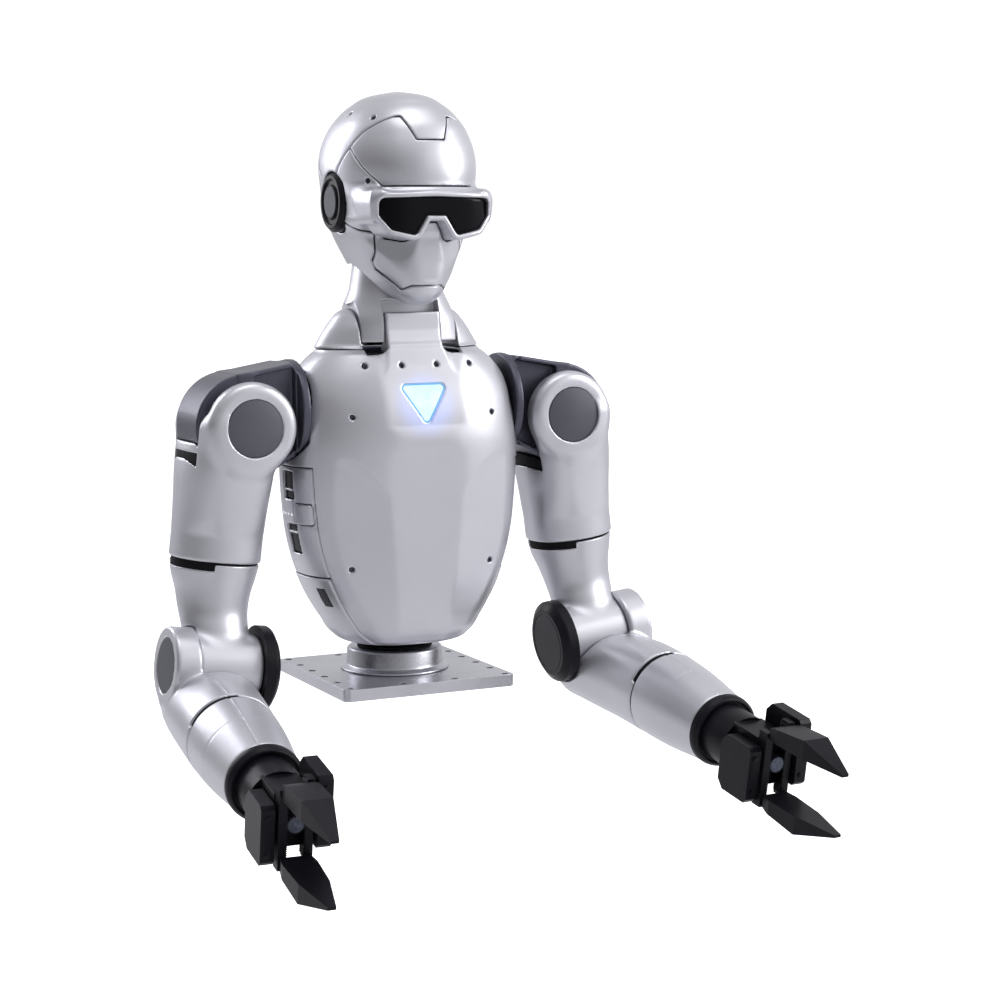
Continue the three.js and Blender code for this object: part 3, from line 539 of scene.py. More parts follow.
def mesh_screen(name):
    """A dark screen: fine slanting wires with dips between them."""
    look = painted(name, (0.02, 0.02, 0.026), (0.05, 0.05, 0.06), 0.4, (0.4, 0.6))
    tree = look.node_tree
    shader = tree.nodes["Principled BSDF"]
    where = tree.nodes.new("ShaderNodeTexCoord")
    wave = add_node(tree, "ShaderNodeTexWave", {"Scale": 260})
    wave.bands_direction = "DIAGONAL"
    tree.links.new(where.outputs["Object"], wave.inputs["Vector"])
    bumped(tree, shader, wave.outputs["Fac"], 0.9, 0.0012)
    return look


SILVER_TONES = ((0.565, 0.565, 0.61), (0.61, 0.61, 0.65))
SILVER_FINISH = {"metallic": 0.72, "rough": (0.34, 0.42), "coat": 0.12}
SILVER = painted("silver_paint", *SILVER_TONES, **SILVER_FINISH)
# the chest's silver paint, with the painted blue glow round the lamp
CHEST = paint_with_painted_glow("silver_paint_painted_lamp_glow")
METAL = painted(
    "milled_metal", (0.50, 0.50, 0.54), (0.58, 0.58, 0.62), 0.9, rough=(0.26, 0.38), flake=900, cloud=14
)
GUNMETAL = painted(
    "gunmetal_paint", (0.060, 0.060, 0.085), (0.085, 0.085, 0.115), 0.6, rough=(0.32, 0.44), coat=0.1
)
DISC = painted("grey_disc", (0.075, 0.075, 0.095), (0.10, 0.10, 0.12), 0.3, rough=(0.45, 0.6), flake=1100)
PLASTIC_TONES = ((0.004, 0.004, 0.006), (0.010, 0.010, 0.014))
BLACK = painted("black_plastic", *PLASTIC_TONES, 0, rough=(0.28, 0.44), flake=1800, specular=0.14)
SEAL_TONES = ((0.003, 0.003, 0.004), (0.006, 0.006, 0.008))
RUBBER = painted("dark_seal", *SEAL_TONES, 0, rough=(0.6, 0.8), flake=1600, specular=0.15)
LENS_TONES = ((0.002, 0.002, 0.003), (0.003, 0.003, 0.005))
GLOSS = painted("lens_gloss", *LENS_TONES, 0, rough=(0.05, 0.08), flake=300, cloud=4, specular=0.12)
STEEL = painted(
    "screw_steel", (0.05, 0.055, 0.08), (0.10, 0.11, 0.14), 0.9, rough=(0.25, 0.4), flake=2500, cloud=400
)
BOARD = painted("circuit_case", (0.03, 0.07, 0.05), (0.05, 0.11, 0.08), 0.1, rough=(0.5, 0.65), flake=900)
GRILLE = mesh_screen("vent_screen")
LAMP = lamp_glow("lamp_glow", (0.60, 0.94, 1.0), (0.82, 0.99, 1.0), 0.95)
LAMP_EDGE = lamp_glow("lamp_edge_glow", (0.10, 0.45, 0.95), (0.16, 0.55, 1.0), 0.75)
DOT = lamp_glow("dot_glow", (0.8, 0.86, 0.9), (0.95, 0.97, 1.0), 0.8)


# ---- torso ----
def torso_field(x, y, z):
    """The whole torso with its chest facets and the bosses beside the neck."""
    skin = lofted(x, y, z, TORSO, TORSO_CENTRE, TORSO_POWER, 8.0)
    width, front, _ = columns(TORSO, z)
    half = np.interp(z.ravel(), *zip(*FACET)).reshape(z.shape).astype(np.float32)
    sink = front * (1 - (1 - (half / width) ** TORSO_POWER) ** (1 / TORSO_POWER))
    lift = FACET_LIFT * smooth_step(z, FACET_TOP - 9, FACET_TOP + 30)
    plane = TORSO_CENTRE - front + sink - lift
    skin = both(skin, plane - y, 0.8)
    across = np.abs(x) - half
    fade = FLANK_LIFT * smooth_step(z - FLANK_TOP - 0.7 * (np.abs(x) - 55), -6, 34)
    level = TORSO_CENTRE - front + sink - fade
    flank = (level - y) * math.cos(FACET_ANGLE) + across * math.sin(FACET_ANGLE)
    skin = both(skin, flank, 0.8)
    boss = lofted(x, y, z, BOSS, NECK_Y, 2, 4.0)
    return either(skin, both(boss, LEG_OUT + 1 - np.abs(x), 1.0), 7.0)


def lamp_outline(x, z):
    """The lamp's triangle, pointing down, with rounded corners."""
    corners = [(-LAMP_HALF, LAMP_TOP), (LAMP_HALF, LAMP_TOP), (0, LAMP_TIP)]
    return polygon(x, z, corners) - LAMP_CORNER


def screw_holes(x, y, z):
    """The seats of the chest cover's screws."""
    holes = [rod(np.abs(x) - px, z - pz, y, CHEST_BORE, -130, -40) for px, pz in CHEST_SCREWS]
    return np.minimum.reduce(holes)


def neck_column(x, y, z):
    """The front column that the chest cover carries up between the neck's legs."""
    outline = [(-70, 330), (-72, 352), (-66.5, 372), (-62, 390), (-60.5, 409), (-50, 409), (-50, 330)]
    return both(polygon(y, z, outline), np.abs(x) - LEG_IN + GAP, 1.0)


def torso_cuts(x, y, z):
    """What is open in the torso's skin: waist, neck, leg slots and shoulder sockets."""
    waist = rod(x, y, z, WAIST_R, 30, 60)
    neck = box(x, y, z, (-LEG_OUT - GAP, COLUMN_BACK, 345), (LEG_OUT + GAP, NECK_BACK, 430))
    slots = box(np.abs(x), y, z, (LEG_IN - GAP, SLOT_FRONT, 345), (LEG_OUT + GAP, NECK_BACK, 430))
    socket = rod(y - SHOULDER_Y, z - SOCKET_Z, np.abs(x), SOCKET_R, SOCKET_X, 170)
    bearing = rod(y - SHOULDER_Y, z - SOCKET_Z, np.abs(x), BEARING_R, 90, 170)
    shape = (x.size, y.size, z.size)
    cuts = (waist, neck, slots, socket, bearing)
    return np.minimum.reduce([np.broadcast_to(cut, shape) for cut in cuts])


def key_box(x, y, z, grow):
    """The square of the power key, in the panel on the robot's right."""
    half = KEY_HALF + grow
    return box(x, y, z, (60, KEY_Y - half, KEY_Z - half), (170, KEY_Y + half, KEY_Z + half), 3.0)


def side_panel(body, x, y, z, side):
    """The panel between chest and back cover, a step below them, with two port bays."""
    region = box(x, y, z, (60, PANEL_FRONT, PANEL_LOW), (160, PANEL_BACK, PANEL_HIGH), 1.0)
    panel = both(both(body + 0.8, -body - WALL - 0.8, 0.6), region, 0.8)
    for low, high in PORT_BAYS:
        panel = without(panel, box(x, y, z, (100, PORT_FRONT, low), (170, PORT_BACK, high), 2.0), 0.8)
    if side < 0:
        panel = without(panel, key_box(x, y, z, GAP), 0.6)
        panel = groove(panel, np.abs(key_box(x, y, z, 2.6)), 1.0, 0.8)
    return panel


def build_ports(name, side):
    """What sits in a side panel: dark port floors, a bright bar across each, dots and a grille."""
    grid = axes((60, -58, 90), (134, -2, 236), SMALL)
    x, y, z = grid
    body = torso_field(x, y, z)

    def sunk(upper, lower, outline, look, piece):
        """What is in the outline, between two depths under the torso's surface."""
        layer = both(body + upper, -body - lower, 0.4)
        cast(f"{piece}_{name}", both(layer, outline), grid, look, "torso", None, None, side < 0)

    for number, (low, high) in enumerate(PORT_BAYS):
        bay = box(x, y, z, (100, PORT_FRONT + GAP, low + GAP), (170, PORT_BACK - GAP, high - GAP), 1.6)
        sunk(3.4, 5.4, bay, BLACK, f"port_{number}")
        level = (low + 9, high - 10)[number]
        strip = box(x, y, z, (100, PORT_FRONT + 0.4, level), (170, PORT_BACK - 0.4, level + 2.6), 0.8)
        sunk(1.2, 4.6, strip, METAL, f"port_bar_{number}")
    for number in range(4):
        front = DOT_FRONT + DOT_PITCH * number
        dot = box(x, y, z, (100, front, DOT_LOW), (170, front + DOT_LENGTH, DOT_HIGH), 0.8)
        sunk(0.3, 2.8, dot, DOT, f"status_dot_{number}")
    grille = box(x, y, z, (60, VENT_FRONT, VENT_LOW), (170, VENT_BACK, VENT_HIGH), 0.8)
    sunk(-0.2, 2.2, grille, GRILLE, "grille")


def build_lamp():
    """The lit triangle in the chest, with a blue line round it."""
    grid = axes((-30, -98, 288), (30, -66, 338), FINE)
    x, y, z = grid
    body = torso_field(x, y, z)
    outline = lamp_outline(x, z)
    lamp = both(both(body + 0.4, outline + 1.0, 0.8), -body - 3, 0.4)
    cast("chest_lamp_piece", lamp, grid, LAMP, "torso", "chest_lamp")
    edge = both(both(body + 0.4, np.abs(outline + 0.1) - 0.9, 0.3), -body - 3, 0.3)
    cast("chest_lamp_edge", edge, grid, LAMP_EDGE, "torso")


def build_chest(skin, grid):
    """The chest cover, open at the lamp and at the screws' seats."""
    x, y, z = grid
    side, middle, high = PANEL_FRONT - SEAM, CHEST_SEAM - SEAM, PANEL_HIGH + SEAM
    outline = [(-170, 30), (side, 30), (side, high), (middle, high), (middle, 430), (-170, 430)]
    column = both(np.abs(x) - LEG_IN, y - COLUMN_BACK, 0.6)
    below_deck = np.minimum(z - DECK + 0.4, column)
    chest = both(both(skin, polygon(y, z, outline), 0.8), below_deck, 0.6)
    chest = without(chest, both(lamp_outline(x, z) - 0.5, bar(y, -140, -60)), 0.8)
    chest = without(chest, screw_holes(x, y, z), 0.9)
    cast("chest_cover_piece", chest, grid, CHEST, "torso", "chest_cover")


def build_back(skin, grid):
    """The back cover, with the outline of an upright hatch cut in it."""
    x, y, z = grid
    low, high, rear = PANEL_LOW - SEAM, PANEL_HIGH + SEAM, PANEL_BACK + SEAM
    outline = [(PANEL_FRONT, 30), (130, 30), (130, 430), (CHEST_SEAM, 430), (CHEST_SEAM, high)]
    outline += [(rear, high), (rear, low), (PANEL_FRONT, low)]
    back = both(both(skin, polygon(y, z, outline), 0.8), z - DECK + 0.4, 0.6)
    hatch = polygon(np.abs(x), z, [(-30, 120), (38, 120), (46, 132), (46, 268), (38, 280), (-30, 280)])
    path = np.broadcast_to(np.where(y > 20, np.abs(hatch), 50), skin.shape)
    cast("back_cover_piece", groove(back, path), grid, SILVER, "torso", "back_cover")


def build_chest_screws(body, grid):
    outward = (0, -1, 0)
    for number, (px, pz) in enumerate(CHEST_SCREWS):
        for name, side in SIDES:
            point = on_skin(body, grid, (side * px, -20, pz), outward)
            socket_screw(f"chest_screw_{name}_{number}", point, outward, "torso")


def build_torso():
    grid = axes((-136, -103, 46), (136, 72, 416), STEP * 1.12)
    x, y, z = grid
    body = torso_field(x, y, z)
    whole = either(body, neck_column(x, y, z), 12.0)
    skin = without(without(whole, body + WALL, 0.6), torso_cuts(x, y, z), 0.8)
    build_chest(skin, grid)
    build_back(skin, grid)
    build_lamp()
    for name, side in SIDES:
        node = f"side_panel_{name}"
        cast(f"{node}_piece", side_panel(body, side * x, y, z, side), grid, SILVER, "torso", node)
        boss = both(both(body, LEG_OUT + 1 - side * x, 1.2), DECK + 0.5 - z, 0.6)
        cast(f"trapezius_{name}_piece", boss, grid, SILVER, "torso", f"trapezius_{name}")
        build_ports(name, side)
    key = both(both(body - 1.2, key_box(-x, y, z, 0), 1.0), -body - 6, 0.6)
    cast("power_button_piece", key, grid, SILVER, "power_key", "power_button")
    build_chest_screws(body, grid)


# ---- neck and head ----
def build_neck():
    """The neck with its two legs, and the dark floors of the slots that the legs stand in."""
    grid = axes((-72, -66, 375), (72, 36, 464))
    x, y, z = grid
    outer = lofted(x, y, z, NECK, NECK_Y, 2.3, 1.5)
    room = box(x, y, z, (-LEG_IN, -90, 350), (LEG_IN, -43, 422), 1.0)
    hollow = both(box(x, y, z, (-39, -38, 350), (39, 18, 440), 2.0), outer + 5, 1.0)
    hollow = either(hollow, box(x, y, z, (-39, -38, 350), (39, 18, 400), 2.0))
    flank = both(z - NECK_FLARE - 0.22 * np.abs(y - NECK_Y), LEG_OUT - np.abs(x), 0.8)
    neck = outer
    for part in (room, hollow, flank):
        neck = without(neck, part, 0.8)
    cast("neck_shell_piece", neck, grid, SILVER, "neck", "neck_shell")
    for name, side in SIDES:
        grid = axes((30, -66, 350), (57, 34, 366))
        x, y, z = grid
        floor = box(x, y, z, (LEG_IN, -64, 352), (LEG_OUT, 31, 364), 1.0)
        cast(f"neck_slot_floor_{name}", floor, grid, RUBBER, "torso", None, None, side < 0)


def goggles(x, y, inset):
    """The band that the visor's frame and lens are cut from."""
    power = VISOR_POWER
    u = np.abs(x) / (VISOR_WIDTH - inset)
    v = np.abs(y - VISOR_CENTRE) / np.where(y < VISOR_CENTRE, VISOR_FRONT - inset, 40)
    size = np.maximum(u**power + v**power, 1e-6) ** (1 / power)
    return (size - 1) * (VISOR_FRONT - inset) * 0.9


def head_field(x, y, z):
    """The bare head, with a flat down the middle of the mask and a planed cheek on each side."""
    head = lofted(x, y, z, HEAD, HEAD_CENTRE, HEAD_POWER, 5.0)
    _, front, _ = columns(HEAD, z)
    flat = np.interp(z.ravel(), *zip(*RIDGE)).reshape(z.shape).astype(np.float32)
    lift = 24 * smooth_step(z, 486, 530) + 12 * smooth_step(-z, -446, -424)
    level = HEAD_CENTRE - front + 1.4 - lift
    cheek = (np.abs(x) - flat) * math.sin(CHEEK_ANGLE) + (level - y) * math.cos(CHEEK_ANGLE)
    return both(both(head, level - y, 1.5), cheek, 1.5)


# Outlines on the head, in millimetres. From the side: jaw, temple, brow and the slit behind the ear.
# From the front: the dip in the brow and the mask. From above: the visor's flare.
JAW = [(-170, 380), (120, 380), (120, 509), (-40, 509), (-60, 497), (-76, 493), (-170, 493)]
TEMPLE = [(-170, 480), (-33, 480), (-36, 553), (-62, 581), (-101, 541), (-170, 541)]
BROW = [(-170, 541), (-101, 541), (-62, 581), (-74, 598), (-90, 613), (-170, 613)]
SLIT = [(9, 554), (14, 561), (16, 572)]
BROW_DIP = [(-43, 650), (-16, 589), (16, 589), (43, 650)]
MASK = [(-50, 515), (-47, 461), (-44, 456), (-24, 434.5), (-17, 438.5)]
MASK += [(-px, pz) for px, pz in reversed(MASK)]
FLARE = [(58, -38), (73, -38), (70.5, -80), (67.3, -113), (58, -118), (50, -90)]
MASK_BACK = -64
RIDGE = ((434, 22), (465, 17), (490, 11), (508, 6))  # height, half width of the mask's flat
CHEEK_ANGLE = math.radians(40)
HEAD_SCREWS = (  # aimed at, and the way out
    ("crown_rear", (0, -20, 565), (0.69, -0.10, 0.66)),
    ("crown_front", (0, -25, 560), (0.62, -0.62, 0.68)),
    ("temple", (0, -25, 541), (0.70, -0.71, 0.07)),
)


def lens_outline(x, z):
    """The lens opening seen from the front, with rounded corners."""
    return polygon(np.abs(x), z, LENS) - LENS_CORNER


def head_skin(x, y, z):
    """The head with its visor and temples, first solid, then as a shell open at the ears and neck."""
    head = head_field(x, y, z)
    band = both(goggles(x, y, 0), both(lens_outline(x, z) - RIM, y - VISOR_BACK, 2.0), 3.5)
    flare = both(polygon(np.abs(x), y, FLARE), bar(z, 502, 538), 8.0)
    skin = either(either(head, flare, 10.0), band, 3 + 9 * smooth_step(z, 500, 532))
    ears = rod(y - EAR_Y, z - EAR_Z, np.abs(x), EAR_R + GAP, 62, 120)
    neck = ring_loft(z, x, y - NECK_Y, [(z_at, 0, 0, radius, radius) for z_at, radius in NECK_ROOM])
    return skin, without(without(without(skin, head + WALL, 0.6), ears, 0.8), neck, 0.8)


def screwed(skin, shell, grid):
    """The head's shell with its screw holes, once the screws are in place."""
    x, y, z = grid
    for name, aim, away in HEAD_SCREWS:
        away = Vector(away).normalized()
        point = on_skin(skin, grid, aim, away)
        shell = without(shell, pit(np.abs(x), y, z, point, away, HEAD_BORE, 3.2), 0.8)
        for side_word, side in SIDES:
            socket_screw(f"{name}_screw_{side_word}", mirror(point, side), mirror(away, side), "head")
    return shell


def head_zones(x, y, z):
    """Where the jaw, the mask, the brow panel and the visor frame are."""
    jaw = polygon(y, z, JAW)
    mask = both(polygon(x, z, MASK), y - MASK_BACK, 0.6)
    brow = without(polygon(y, z, BROW), polygon(x, z, BROW_DIP), 0.6)
    temple = without(without(polygon(y, z, TEMPLE), jaw - SEAM), mask - SEAM)
    rim = both(lens_outline(x, z) - RIM - 0.6, y - VISOR_BACK)
    return jaw, mask, brow, either(temple, rim)


def build_head():
    grid = axes((-84, -134, 414), (84, 84, 646))
    x, y, z = grid
    skin, shell = head_skin(x, y, z)
    shell = screwed(skin, shell, grid)
    jaw_zone, mask_zone, brow_zone, visor_zone = head_zones(x, y, z)
    around = visor_zone - SEAM

    def cover(node, field):
        cast(f"{node}_piece", field, grid, SILVER, "head", node)

    skull = without(without(without(shell, jaw_zone - SEAM, 0.8), brow_zone - SEAM, 0.8), around, 0.8)
    cover("skull_shell", groove(skull, np.broadcast_to(line(y, z, SLIT), shell.shape), 2.0, 2.4))
    cover("brow_panel", without(both(shell, brow_zone, 0.8), around, 0.8))
    jaw = without(both(shell, jaw_zone, 0.8), mask_zone - SEAM, 0.8)
    cover("jaw_shell", without(jaw, around, 0.8))
    cover("face_mask", without(both(shell, mask_zone, 0.8), around, 0.8))
    lens = lens_outline(x, z)
    opening = both(lens, bar(y, -170, VISOR_BACK + 20), 0.5)
    cover("visor_frame", without(both(shell, visor_zone, 0.8), opening, 2.4))
    glass = both(both(goggles(x, y, 3.2), lens + 0.3, 1.0), -goggles(x, y, 7.2), 0.6)
    cast("visor_lens_piece", both(glass, y - VISOR_BACK), grid, GLOSS, "head", "visor_lens")


def build_ears():
    out = EAR_OUT
    profile = [(0, 64), (EAR_R, 64), (EAR_R, out - 4), (EAR_R - 4, out), (24.5, out), (23, out - 2.6)]
    profile += [(18.6, out - 2.6), (17.6, out - 0.2), (0, out)]
    for name, side in SIDES:
        centre = (0, EAR_Y, EAR_Z)
        lathe(f"ear_{name}_piece", profile, centre, (side, 0, 0), BLACK, "head", f"ear_{name}")
        cap = [(0, out - 0.1), (17, out - 0.1), (16.4, out + 0.5), (0, out + 0.5)]
        lathe(f"ear_{name}_cap", cap, centre, (side, 0, 0), DISC, "head", width=0.2)


# ---- arms ----
def build_yoke(name, side):
    """The dark yoke: a drum on the arm's roll axis and a web that turns in the torso's socket."""
    grid = axes((SOCKET_X - 2, -75, 232), (244, 45, 366))
    x, y, z = grid
    front = SHOULDER_Y - DRUM_HALF
    drum = rod(x - SHOULDER_X, z - SHOULDER_Z, y - SHOULDER_Y, DRUM_R, -DRUM_HALF, DRUM_HALF, 2.5)
    top = (SHOULDER_X + 9, SHOULDER_Z + DRUM_R - 0.8)
    outline = [(YOKE_IN, 359), (YOKE_IN, 262), (SHOULDER_X - 32, SHOULDER_Z - 45)]
    outline += [(SHOULDER_X, SHOULDER_Z), top]
    shape = polygon(x, z, outline)
    web = both(shape, bar(y, front, SHOULDER_Y + DRUM_HALF), 2.5)
    yoke = either(drum, web, 3.0)
    recess = both(both(shape + 5, x - SHOULDER_X + 8, 3.0), y - front - 9, 2.0)
    yoke = without(yoke, recess, 1.2)
    round_end = rod(y - SHOULDER_Y, z - SOCKET_Z, x, SOCKET_R - 2, 100, 160, 1.0)
    yoke = both(yoke, either(round_end, YOKE_CLEAR - x, 4.0), 1.0)
    flange = rod(y - SHOULDER_Y, z - SOCKET_Z, x, SOCKET_R - 2, SOCKET_X + 0.4, 129, 1.0)
    bore = rod(x - SHOULDER_X, z - SHOULDER_Z, y, YOKE_BORE, -80, 50)
    yoke = without(either(yoke, flange, 1.0), bore, 1.0)
    node = f"shoulder_yoke_{name}"
    cast(f"{node}_piece", yoke, grid, GUNMETAL, f"shoulder_{name}", node, None, side < 0)


def build_upper_arm(name, side):
    """A tube that widens to two lobes, which hold the yoke's drum, with a black layer of painted shade
    under it.
    """
    grid = axes((-62, -68, YAW_GAP - 1), (60, 64, 54))
    x, y, z = grid
    tube = (
        (YAW_GAP + 1, ARM_R, ARM_R, ARM_R),
        (-110, ARM_R, ARM_R + 0.5, ARM_R + 0.5),
        (-80, ARM_R, ARM_R + 3, ARM_R + 2),
        (-50, ARM_R, 56, 53),
        (ROLL_Z, ARM_R - 6, 60, 57),
    )
    web = ((-104, 36, 46, 46), (-80, 39, 54, 52), (-50, 42, 60, 57), (ROLL_Z, 44, 63, 59))
    arm = lofted(x, y, z, tube, 0, 2.2, 3.0)
    arm = either(arm, lofted(x, y, z, web, 0, 4, 10.0), 14.0)
    for low, high in LOBES:
        lobe = rod(x - ROLL_X, z - ROLL_Z, y, LOBE_R, low, high, 12.0)
        arm = either(arm, lobe, 12.0)
    drum = rod(x - ROLL_X, z - ROLL_Z, y, DRUM_R + 1.6, LOBES[0][1], LOBES[1][0], 1.5)
    # painted shade: a black layer in the slot under the drum, where the gap lies in shade
    painted_shade_room = rod(x - ROLL_X, z - ROLL_Z, y, SLOT_R, LOBES[0][1] + 0.2, LOBES[1][0] - 0.2, 1.5)
    painted_shade_room = both(without(painted_shade_room, drum), z - ROLL_Z - SLOT_LOW, 1.0)
    slot = box(x, y, z, (-90, LOBES[0][1], ROLL_Z - 22), (90, LOBES[1][0], 90), 1.5)
    seat = rod(x - ROLL_X, z - ROLL_Z, y, SHOULDER_DISC_R + 0.4, LOBES[0][0] - 4, LOBES[0][0] + 2.4, 0.5)
    painted_shade_layer = both(painted_shade_room, arm + 1.4, 1.0)
    for part in (drum, slot, painted_shade_room, seat):
        arm = without(arm, part, 1.2)
    body, node = f"upper_arm_{name}", f"upper_arm_shell_{name}"
    cast(f"{node}_piece", arm, grid, SILVER, body, node, ARM, side < 0)
    # the black layer of painted shade in the slot under the drum
    cast(f"slot_painted_shade_{name}", painted_shade_layer, grid, RUBBER, body, None, ARM, side < 0)


def build_elbow(name, side):
    """The barrel on the elbow's axis and the neck that carries it."""
    grid = axes((-50, -78, -292), (50, 50, YAW_GAP))
    x, y, z = grid
    top = YAW_GAP - 1
    sections = (
        (-230, -2, -25, 34.5, 30.5),
        (-212, -1, -17, 36, 32.5),
        (-196, 0, -9, 37.5, 34.5),
        (-176, 0, -3, 40.5, 40),
        (-160, 0, 0, 45, 44.5),
        (top, 0, 0, 47.6, 47.6),
    )
    neck = ring_loft(z, x, y, sections)
    barrel = rod(y - ELBOW_Y, z - ELBOW_Z, x, BARREL_R, CAP_IN + 0.4, LOBE_IN - 0.4, 1.2)
    notch_side = -side  # the robot's right, on both arms
    ledge = box(notch_side * x, y, z, (14, -70, top - 7), (60, 12, top + 5), 0.8)
    notch = without(ledge, np.sqrt(x * x + y * y) - NOTCH_R, 0.6)
    lobe_room = rod(y - ELBOW_Y, z - ELBOW_Z, x, LOBE_ELBOW_R + 1.4, LOBE_IN - 0.4, 80, 0.8)
    housing = without(without(either(neck, barrel, 8.0), notch, 0.7), lobe_room, 1.0)
    node = f"elbow_housing_{name}"
    cast(f"{node}_piece", housing, grid, SILVER, f"elbow_{name}", node, ARM, side < 0)


def build_forearm(name, side):
    """A shell that hangs on the elbow's barrel by its lobe and by the cap at the other end."""
    grid = axes((-68, ROLL_GAP, -62), (64, 298, 80))
    x, y, z = grid
    sections = (
        (-268, -14, -10, 28, 22),
        (-262, -13, -10, 40, 30),
        (-248, -11, -10, 49, 38),
        (-225, -8, -8, 51, 41),
        (-195, -5, -4, 51, 45),
        (-160, -2, -1, 49.5, 47.5),
        (-ROLL_GAP - 1, 0, 0, 48, 48),
    )
    body = ring_loft(-y, x, z, sections)
    ax, ay, az = in_arm(x, y, z)
    ay, az = ay - ELBOW_Y, az - ELBOW_Z
    lobe = rod(ay, az, ax, LOBE_ELBOW_R, LOBE_IN, LOBE_OUT, 4.0)
    room = rod(ay, az, ax, BARREL_R + 1.6, -90, LOBE_IN, 1.0)
    cap_room = rod(ay, az, ax, CAP_R + 1.6, -90, CAP_IN + 1, 1.0)
    seat = rod(ay, az, ax, ELBOW_DISC_R + 0.4, LOBE_OUT - 2.4, 90, 0.5)
    top = box(ax, ay, az, (-90, -12, 0), (LOBE_IN, 96, 80), 1.0)
    shell = either(body, lobe, 8.0)
    for part in (room, cap_room, seat, top):
        shell = without(shell, part, 1.0)
    notch_side = -side  # the robot's right, on both arms
    notch = box(notch_side * x, y, z, (-4, ROLL_GAP - 4, 18), (60, ROLL_GAP + 5, 70), 0.8)
    notch = without(notch, np.sqrt(x * x + z * z) - NOTCH_R, 0.6)
    shell = without(shell, notch, 0.7)
    seam = np.broadcast_to(np.where(z > 0, np.abs(x - notch_side * 6), 50), shell.shape)
    shell = groove(shell, seam, 0.9, 1.0)
    node = f"forearm_shell_{name}"
    cast(f"{node}_piece", shell, grid, SILVER, f"forearm_{name}", node, FOREARM, side < 0)


def build_wrist(name, side):
    grid = axes((-50, 4, -50), (50, ROLL_GAP, 50))
    x, y, z = grid
    sections = (
        (-ROLL_GAP + 1, 0, 0, 47.6, 47.6),
        (-90, 0, 0, 47, 47),
        (-60, 0, 0, 45, 45),
        (-30, 0, 0, 41.5, 41.5),
        (-7, 0, 0, 38.5, 38.5),
    )
    shell = ring_loft(-y, x, z, sections)
    ring = np.broadcast_to(np.abs(y - 62), shell.shape)
    seam = np.broadcast_to(np.where(z > 0, np.abs(x + side * 6), 50), shell.shape)
    shell = groove(groove(shell, ring, 0.8, 0.9), seam, 0.9, 1.0)
    node = f"wrist_shell_{name}"
    cast(f"{node}_piece", shell, grid, SILVER, f"wrist_{name}", node, FOREARM, side < 0)


def build_discs(name, side):
    """The shoulder disc, and the cap and disc at the two ends of the elbow's axle."""
    arm, elbow, forearm = f"upper_arm_{name}", f"elbow_{name}", f"forearm_{name}"
    low = LOBES[0][0]
    centre = in_place(ARM, (ROLL_X, low, ROLL_Z), side)
    disc = [(0, -2.2), (SHOULDER_DISC_R, -2.2), (SHOULDER_DISC_R, -0.4)]
    disc += [(SHOULDER_DISC_R - 0.8, 0), (0, 0.3)]
    lathe(f"shoulder_disc_{name}_piece", disc, centre, (0, -1, 0), DISC, arm, f"shoulder_disc_{name}")
    centre = in_place(ARM, (0, ELBOW_Y, ELBOW_Z), side)
    inward = direction(ARM, (-1, 0, 0), side)
    low, high = -CAP_IN, -CAP_OUT
    cap = [(0, low), (CAP_R, low), (CAP_R, high - 7), (CAP_R - 1.5, high - 4.6), (CAP_R - 9, high)]
    cap += [(CAP_R - 13, high), (CAP_R - 13.6, high - 0.8), (CAP_R - 14.4, high - 0.1), (0, high - 0.1)]
    lathe(f"elbow_cap_{name}_piece", cap, centre, inward, BLACK, elbow, f"elbow_cap_{name}")
    outward = direction(ARM, (1, 0, 0), side)
    face = LOBE_OUT - 0.4
    disc = [(0, face - 1.8), (ELBOW_DISC_R, face - 1.8), (ELBOW_DISC_R, face - 0.4)]
    disc += [(ELBOW_DISC_R - 0.6, face), (0, face)]
    lathe(f"elbow_disc_{name}_piece", disc, centre, outward, DISC, forearm, f"elbow_disc_{name}")


def build_gap_rings(name, side):
    """The black bearing rings that show in the yaw gap, the roll gap and their notches."""
    yaw = [(0, YAW_GAP - 7.8), (46, YAW_GAP - 7.8), (46, YAW_GAP + 0.8), (0, YAW_GAP + 0.8)]
    up = direction(ARM, (0, 0, 1), side)
    lathe(f"yaw_ring_{name}", yaw, in_place(ARM, (0, 0, 0), side), up, RUBBER, f"elbow_{name}")
    roll = [(0, ROLL_GAP - 0.8), (46.2, ROLL_GAP - 0.8), (46.2, ROLL_GAP + 5.6), (0, ROLL_GAP + 5.6)]
    back = direction(FOREARM, (0, 1, 0), side)
    lathe(f"roll_ring_{name}", roll, in_place(FOREARM, (0, 0, 0), side), back, RUBBER, f"forearm_{name}")


def build_wrist_ring(name, side):
    centre = mirror(WRIST_AT, side)
    forward = direction(FOREARM, (0, -1, 0), side)
    ring = [(0, -6.6), (38.2, -6.6), (39.4, -5.4), (39.4, -1.2), (38.8, 2.4), (36.2, 5.6)]
    ring += [(34.4, 5.6), (33.8, 2.2), (0, 2.2)]
    lathe(f"wrist_ring_{name}_piece", ring, centre, forward, BLACK, f"wrist_{name}", f"wrist_ring_{name}")


def build_arm(name, side):
    build_yoke(name, side)
    build_upper_arm(name, side)
    build_elbow(name, side)
    build_forearm(name, side)
    build_wrist(name, side)
    build_discs(name, side)
    build_gap_rings(name, side)
    build_wrist_ring(name, side)


# ---- base and the CAD nodes that keep their shape ----
def build_base():
    low, high = 13.4, 38
    profile = [(0, low), (60, low), (60, low + 1.6), (57, low + 3.4), (54, low + 5.4), (53, low + 8.5)]
    profile += [(53, high - 3), (52, high - 0.8), (50, high), (0, high)]
    node = "pedestal_collar"
    lathe(f"{node}_piece", profile, (0, 0, 0), (0, 0, 1), METAL, "base", node, width=0.8)
    crisp("base_plate", METAL, 1.2)


GRIPPER = ("gripper_palm", "gripper_guard_low", "gripper_guard_high", "finger_upper", "finger_lower")


